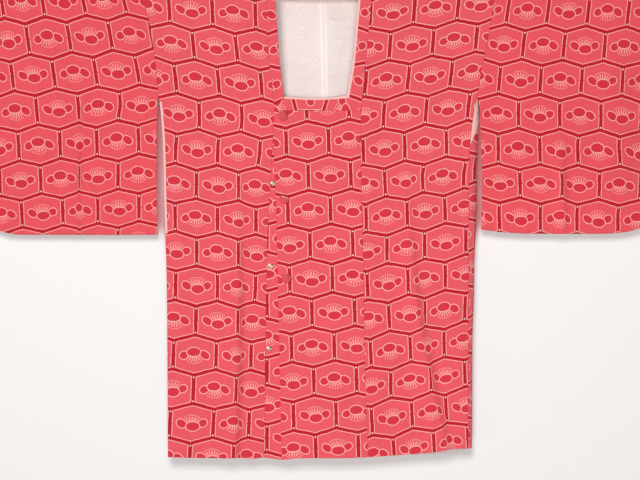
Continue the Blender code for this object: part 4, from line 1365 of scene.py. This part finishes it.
SNAP_METAL = nickel("snap_metal", srgb(226, 214, 196), 0.36)
for number, (across, depth) in enumerate(SNAPS, 1):
    cup = [(0.0, 1.1), (1.1, 1.1), (1.3, 1.5), (1.5, 1.95), (1.8, 2.05), (2.15, 1.95), (2.4, 1.6), (2.6, 1.1),
           (2.9, 0.85), (4.4, 0.8), (4.7, 0.6), (4.8, 0.35), (4.7, 0.1), (4.5, 0.0), (0.0, 0.0)]
    seat = hang(across, depth, FRONT, WALL / 2 + SEAM_GAP)
    piece = turned_piece(f"snap_cup_{number}", cup, seat, 40, SNAP_METAL)
    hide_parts(f"snap_{number}")
    print(piece.name, len(piece.data.polygons), "faces")

# %% [markdown]
# ## Wood and steel
#
# The rod and the hook above it are simple shapes that the CAD has exactly, so their solids stay.
# They only get better finishes: pale wood with its grain drawn out along the rod, and steel wire.

# %% Finishes for the rod and the hook
def pale_wood():
    """Wood whose grain runs along X, with a slight change of gloss in it."""
    made, tree, shader = new_material("rod_wood", 0.5, Coat_Weight=0.1, Coat_Roughness=0.4)
    drawn = node(tree, "ShaderNodeMapping",
                 {"Vector": own_place(tree), "Scale": (1.2, 60.0, 60.0)}).outputs[0]
    band = noise(tree, drawn, 2.0, 5.0, Distortion=0.6).math("MULTIPLY_ADD", 2.4, -0.7, clamp=True)
    pore = noise(tree, drawn, 11.0, 3.0).math("MULTIPLY_ADD", 5.0, -2.9, clamp=True)
    light, dark = steady(tree, srgb(216, 184, 140)), steady(tree, srgb(168, 126, 84))
    tree.links.new(paint(tree, band * 0.6 + pore * 0.35, light, dark), shader.inputs["Base Color"])
    tree.links.new((band * 0.12 + pore * 0.2 + 0.42).socket, shader.inputs["Roughness"])
    raised(tree, shader, pore * -1.0 + 1.0, 0.0002, 0.5)
    return made


for name, finish in (("rod", pale_wood()), ("hook", nickel("hook_steel", srgb(205, 205, 202), 0.28))):
    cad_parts[name].material_slots[0].material = finish
    print(name, "is finished as", finish.name)

# %% [markdown]
# ## Thread
#
# What holds small things on is thread, and thread repeats, so Geometry Nodes sew it. One tree
# follows a line and sets a small slanted loop of thread at every step. The other lays loops over
# the rim of a snap, a few at each of its four holes. Both are turned into plain meshes at the end.

# %% Growing a piece from a tree
def geometry_group(name, inputs):
    """An empty Geometry Nodes tree with its named inputs and one geometry output."""
    tree = bpy.data.node_groups.new(name, "GeometryNodeTree")
    for label, kind in inputs:
        tree.interface.new_socket(label, in_out="INPUT", socket_type=kind)
    tree.interface.new_socket("Geometry", in_out="OUTPUT", socket_type="NodeSocketGeometry")
    return tree, tree.nodes.new("NodeGroupInput"), tree.nodes.new("NodeGroupOutput")


def grown(name, tree, line, **values):
    """A plain mesh piece that a tree makes from a line of points, in millimetres."""
    line = np.asarray(line, float).reshape(-1, 3) * MM
    base = bpy.data.meshes.new(name + "_line")
    base.from_pydata(line.tolist(), [(i, i + 1) for i in range(len(line) - 1)], [])
    made = bpy.data.objects.new(name, base)
    bpy.context.scene.collection.objects.link(made)
    sewing = made.modifiers.new("sewing", "NODES")
    sewing.node_group = tree
    sockets = {item.name: item.identifier for item in tree.interface.items_tree if item.in_out == "INPUT"}
    for label, value in values.items():
        sewing[sockets[label.replace("_", " ")]] = value
    bpy.context.view_layer.update()
    ready = made.evaluated_get(bpy.context.evaluated_depsgraph_get())
    mesh = bpy.data.meshes.new_from_object(ready)
    made.modifiers.remove(sewing)
    made.data = mesh
    made.data.name = name
    bpy.data.meshes.remove(base)
    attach(made, "root")
    print(name, len(mesh.polygons), "faces")
    return made


# %% Two trees: stitches along a line, and loops over a rim
def vector_of(tree, **parts):
    """A vector from its X, Y and Z."""
    return node(tree, "ShaderNodeCombineXYZ", parts).outputs[0]


def loop_of_thread(tree, start, middle, end, thread):
    """A short bent thread as a mesh."""
    line = node(tree, "GeometryNodeCurveQuadraticBezier", {"Resolution": 6, "Start": start, "Middle": middle,
                                                           "End": end})
    ring = node(tree, "GeometryNodeCurvePrimitiveCircle", {"Resolution": 6, "Radius": thread})
    return node(tree, "GeometryNodeCurveToMesh", {"Curve": line.outputs[0], "Profile Curve": ring.outputs[0],
                                                  "Fill Caps": True})


def copies(tree, points, loop, turned):
    """A copy of a loop at every point, each with its own turn."""
    made = node(tree, "GeometryNodeInstanceOnPoints",
                {"Points": points.outputs[0], "Instance": loop.outputs[0], "Rotation": turned.outputs[0]})
    return made.outputs[0]


def finished(tree, made, result, material):
    """Real geometry with its material, as the tree's result."""
    real = node(tree, "GeometryNodeRealizeInstances", {"Geometry": made})
    smooth_faces = node(tree, "GeometryNodeSetShadeSmooth", {"Geometry": real.outputs[0]})
    finish = node(tree, "GeometryNodeSetMaterial",
                  {"Geometry": smooth_faces.outputs[0], "Material": material})
    tree.links.new(finish.outputs[0], result.inputs["Geometry"])


def stitches_along():
    """Slanted stitches at even steps along a line that faces the viewer."""
    tree, given, result = geometry_group("stitches_along", [
        ("Line", "NodeSocketGeometry"), ("Spacing", "NodeSocketFloat"), ("Length", "NodeSocketFloat"),
        ("Thread", "NodeSocketFloat"), ("Slant", "NodeSocketFloat"), ("Unevenness", "NodeSocketFloat"),
        ("Seed", "NodeSocketInt"), ("Material", "NodeSocketMaterial")])
    curve = node(tree, "GeometryNodeMeshToCurve", {"Mesh": given.outputs["Line"]})
    stepped = node(tree, "GeometryNodeResampleCurve", {"Curve": curve.outputs[0],
                                                       "Length": given.outputs["Spacing"]}, mode="LENGTH")
    half, thread = Value(tree, given.outputs["Length"]) * 0.5, Value(tree, given.outputs["Thread"])
    loop = loop_of_thread(tree, vector_of(tree, X=half * -1.0), vector_of(tree, Y=thread * -2.5),
                          vector_of(tree, X=half), thread)
    chance = node(tree, "FunctionNodeRandomValue", {2: -1.0, 3: 1.0, 8: given.outputs["Seed"]},
                  data_type="FLOAT")
    uneven, slant = (Value(tree, given.outputs[label]) for label in ("Unevenness", "Slant"))
    lean = Value(tree, chance.outputs[1]) * uneven + slant
    own_turn = node(tree, "FunctionNodeEulerToRotation", {"Euler": vector_of(tree, Y=lean)})
    tangent = node(tree, "GeometryNodeInputTangent")
    along = node(tree, "FunctionNodeAlignRotationToVector", {"Vector": tangent.outputs[0]}, axis="X",
                 pivot_axis="Y")
    turned = node(tree, "FunctionNodeRotateRotation",
                  {"Rotation": along.outputs[0], "Rotate By": own_turn.outputs[0]}, rotation_space="LOCAL")
    placed = copies(tree, stepped, loop, turned)
    finished(tree, placed, result, given.outputs["Material"])
    return tree


def loops_over_rim():
    """Loops of thread from the holes of a snap over its rim, turned to face the viewer."""
    tree, given, result = geometry_group("loops_over_rim", [
        ("Line", "NodeSocketGeometry"), ("Holes", "NodeSocketInt"), ("Strands", "NodeSocketInt"),
        ("Spread", "NodeSocketFloat"), ("Inner", "NodeSocketFloat"), ("Outer", "NodeSocketFloat"),
        ("Height", "NodeSocketFloat"), ("Thread", "NodeSocketFloat"), ("Place", "NodeSocketVector"),
        ("Material", "NodeSocketMaterial")])
    holes, strands = Value(tree, given.outputs["Holes"]), Value(tree, given.outputs["Strands"])
    height = Value(tree, given.outputs["Height"])
    inner, outer = given.outputs["Inner"], given.outputs["Outer"]
    loop = loop_of_thread(tree, vector_of(tree, X=inner, Z=height * 0.6),
                          vector_of(tree, X=outer, Z=height * 1.9), vector_of(tree, X=outer),
                          given.outputs["Thread"])
    points = node(tree, "GeometryNodePoints", {"Count": holes * strands})
    number = Value(tree, node(tree, "GeometryNodeInputIndex").outputs[0])
    hole = (number / strands).math("FLOOR")
    strand = number - hole * strands - (strands - 1.0) * 0.5
    angle = (hole / holes) * (2 * math.pi) + strand * Value(tree, given.outputs["Spread"]) + 0.6
    turn = node(tree, "FunctionNodeEulerToRotation", {"Euler": vector_of(tree, Z=angle)})
    facing = node(tree, "GeometryNodeTransform",
                  {"Geometry": copies(tree, points, loop, turn), "Translation": given.outputs["Place"],
                   "Rotation": (math.pi / 2, 0.0, 0.0)})
    finished(tree, facing.outputs[0], result, given.outputs["Material"])
    return tree


RIM_LOOPS, FELLING = loops_over_rim(), stitches_along()
print("thread trees:", RIM_LOOPS.name, "and", FELLING.name)


# %% Sew on the snaps, and fell the lining to the collar
def spun(name, colour):
    """Thread, a little uneven in colour along its length."""
    made, tree, shader = new_material(name, 0.6, Sheen_Weight=0.3)
    shade = noise(tree, own_place(tree), 1500.0, 2.0) * 0.4 + 0.8
    tree.links.new(shaded(tree, steady(tree, colour), shade.socket), shader.inputs["Base Color"])
    return made


RED_THREAD, WHITE_THREAD = spun("red_thread", srgb(150, 32, 44)), spun("white_thread", srgb(232, 214, 210))
for number, (across, depth) in enumerate(SNAPS, 1):
    seat = hang(across, depth, FRONT, WALL / 2 + SEAM_GAP) * MM
    threads = grown(f"snap_threads_{number}", RIM_LOOPS, (), Holes=4, Strands=3, Spread=0.14, Inner=0.0033,
                    Outer=0.0056, Height=0.0009, Thread=0.00024, Place=tuple(float(part) for part in seat),
                    Material=RED_THREAD)

quarter = np.radians(np.linspace(38, 89, 30))
for hand in ("right", "left"):
    depth = BACK_NECK_SEAM * np.sin(quarter) + 1.2
    across = mix(NECK[hand][0][1], read(BACK_SEAM, depth), 1 - np.cos(quarter))
    sewn_along = hang(across, depth, BACK, LINING_IN - LINING_WALL / 2 - 0.1)
    felled = grown("felling_" + hand, FELLING, sewn_along, Spacing=0.0045, Length=0.0024, Thread=0.00016,
                   Slant=1.0, Unevenness=0.2, Seed=7, Material=WHITE_THREAD)

# %% [markdown]
# ## The room
#
# The wall behind the coat is seen from the front only: from behind it is clear, so the back of the
# coat can be looked at too. Red silk throws rosy light on a pale wall close to it, and next to no
# other light gets in there. Ambient occlusion finds those nooks, and there the wall's colour is painted
# darker and rosy: painted shade and painted bounce light. The whole wall also glows a little, as
# painted light that keeps it pale.

# %% Wall and floor
PHOTO_WIDTH = 1280.0
EYE_DISTANCE = 3000.0
EYE_DEPTH = 510.0
WALL_BEHIND = 0.029
FLOOR_AT = -1.3
NOOK_REACH = 0.045
# The wall's colour and glow in the nooks beside the coat, painted shade and rosy bounce light, and out in the
# open.
SHADED_NOOK_WALL, NOOK_GLOW = (0.30, 0.20, 0.20, 1), (0.60, 0.12, 0.14, 1)
OPEN_WALL, OPEN_GLOW = (0.55, 0.54, 0.53, 1), (0.84, 0.83, 0.815, 1)


def plain(name, colour):
    """A matt material for the room, its tree and its shader."""
    made, tree, shader = new_material(name, 0.9, Specular_IOR_Level=0.1)
    shader.inputs["Base Color"].default_value = colour
    return made, tree, shader


def wall_finish():
    """The wall: painted rosy shade and glow in the nooks beside the coat, even below it, a pale glow all
    over, and clear from its other side.
    """
    made, tree, shader = plain("pale_wall", OPEN_WALL)
    nook = node(tree, "ShaderNodeAmbientOcclusion", {"Distance": NOOK_REACH}, samples=24)
    height = Value(tree, node(tree, "ShaderNodeSeparateXYZ", {"Vector": own_place(tree)}).outputs["Z"])
    in_the_open = Value(tree, nook.outputs["AO"]).math("MULTIPLY_ADD", 8.0, -4.1, clamp=True)
    in_the_open = in_the_open.either(height.math("MULTIPLY_ADD", -20.0, -22.0, clamp=True))
    for label, hidden, bare in (("Base Color", SHADED_NOOK_WALL, OPEN_WALL),
                                ("Emission Color", NOOK_GLOW, OPEN_GLOW)):
        tint = paint(tree, in_the_open, steady(tree, hidden), steady(tree, bare))
        tree.links.new(tint, shader.inputs[label])
    # The wall glows: painted light over the whole wall, and a painted rosy bounce in the nooks.
    shader.inputs["Emission Strength"].default_value = 0.49
    clear, facing = node(tree, "ShaderNodeBsdfTransparent"), node(tree, "ShaderNodeNewGeometry")
    blend = node(tree, "ShaderNodeMixShader",
                 {0: facing.outputs["Backfacing"], 1: shader.outputs[0], 2: clear.outputs[0]})
    tree.links.new(blend.outputs[0], tree.nodes["Material Output"].inputs["Surface"])
    return made


def panel(name, corners, finish):
    """A flat four-cornered piece of the room."""
    mesh = bpy.data.meshes.new(name)
    mesh.from_pydata(corners, [], [(0, 1, 2, 3)])
    mesh.materials.append(finish)
    made = bpy.data.objects.new(name, mesh)
    bpy.context.scene.collection.objects.link(made)
    return made


wall = panel("wall", [(-4, WALL_BEHIND, FLOOR_AT), (4, WALL_BEHIND, FLOOR_AT), (4, WALL_BEHIND, 2.2),
                      (-4, WALL_BEHIND, 2.2)], wall_finish())
wall.visible_shadow = False
wall.visible_diffuse = False
floor = panel("floor", [(-4, -5, FLOOR_AT), (4, -5, FLOOR_AT), (4, 5, FLOOR_AT), (-4, 5, FLOOR_AT)],
              plain("pale_floor", (0.86, 0.85, 0.83, 1))[0])
print(f"wall {WALL_BEHIND * 1000:.0f} mm behind the rod's middle")

# %% [markdown]
# ## Light
#
# A wide key light stands far off at the viewer's left and above, so that folds shade softly to the
# right. A low fill opens the hem, a lamp behind the coat serves the views from behind, and a weak
# one at the right lights the left sleeve's side. These four leave the wall and the floor out, by
# light linking, so that the cloth's light can be set on its own. One more lamp lights the room.

# %% Lamps
def soft_light(name, place, target, size, power, room_light="EXCLUDE"):
    """A square area light that looks at a point. It leaves the room out, or lights only the room."""
    lamp = bpy.data.lights.new(name, "AREA")
    lamp.shape, lamp.size, lamp.energy = "SQUARE", size, power
    made = bpy.data.objects.new(name, lamp)
    made.location = place
    made.rotation_euler = (Vector(target) - Vector(place)).to_track_quat("-Z", "Y").to_euler()
    made.visible_camera = False
    bpy.context.scene.collection.objects.link(made)
    receivers = bpy.data.collections.new(name + "_receivers")
    for number, part in enumerate((wall, floor)):
        receivers.objects.link(part)
        receivers.collection_objects[number].light_linking.link_state = room_light
    made.light_linking.receiver_collection = receivers
    return made


soft_light("key", (-3.5, -6.2, 1.8), (0.0, 0.0, -0.7), 3.6, 290)
soft_light("low_fill", (0.4, -2.3, -0.95), (0.05, 0.0, -0.7), 1.5, 28)
soft_light("back", (0.8, 3.2, 0.6), (0.0, 0.0, -0.55), 2.4, 24)
soft_light("side", (3.2, 0.3, -0.9), (0.3, 0.0, -0.8), 0.9, 20)
soft_light("over_room", (-0.3, -3.2, 0.76), (0.0, 0.0, -0.7), 1.1, 100, "INCLUDE")
world = bpy.data.worlds.new("pale_room")
world.use_nodes = True
world.node_tree.nodes["Background"].inputs[0].default_value = (1.0, 0.995, 0.985, 1)
world.node_tree.nodes["Background"].inputs[1].default_value = 0.068
bpy.context.scene.world = world
bpy.context.scene.view_settings.view_transform = "Standard"
print(len(bpy.data.lights), "lamps")

# %% [markdown]
# ## The camera
#
# The camera stands square on, 3 m away and at the height of the picture's middle. Its lens follows
# from the width that the picture shows of the cloth's front, 1.28 m.

# %% The camera, square on
eye = bpy.data.cameras.new("eye")
eye.sensor_width = 36.0
eye.lens = eye.sensor_width * (EYE_DISTANCE - fold_radius - WALL / 2) / PHOTO_WIDTH
camera = bpy.data.objects.new("camera", eye)
camera.location = Vector((0.0, -EYE_DISTANCE, fold_radius - EYE_DEPTH - rod_drop)) * MM
camera.rotation_euler = (math.pi / 2, 0.0, 0.0)
bpy.context.scene.collection.objects.link(camera)
bpy.context.scene.camera = camera
print(f"lens {eye.lens:.1f} mm")
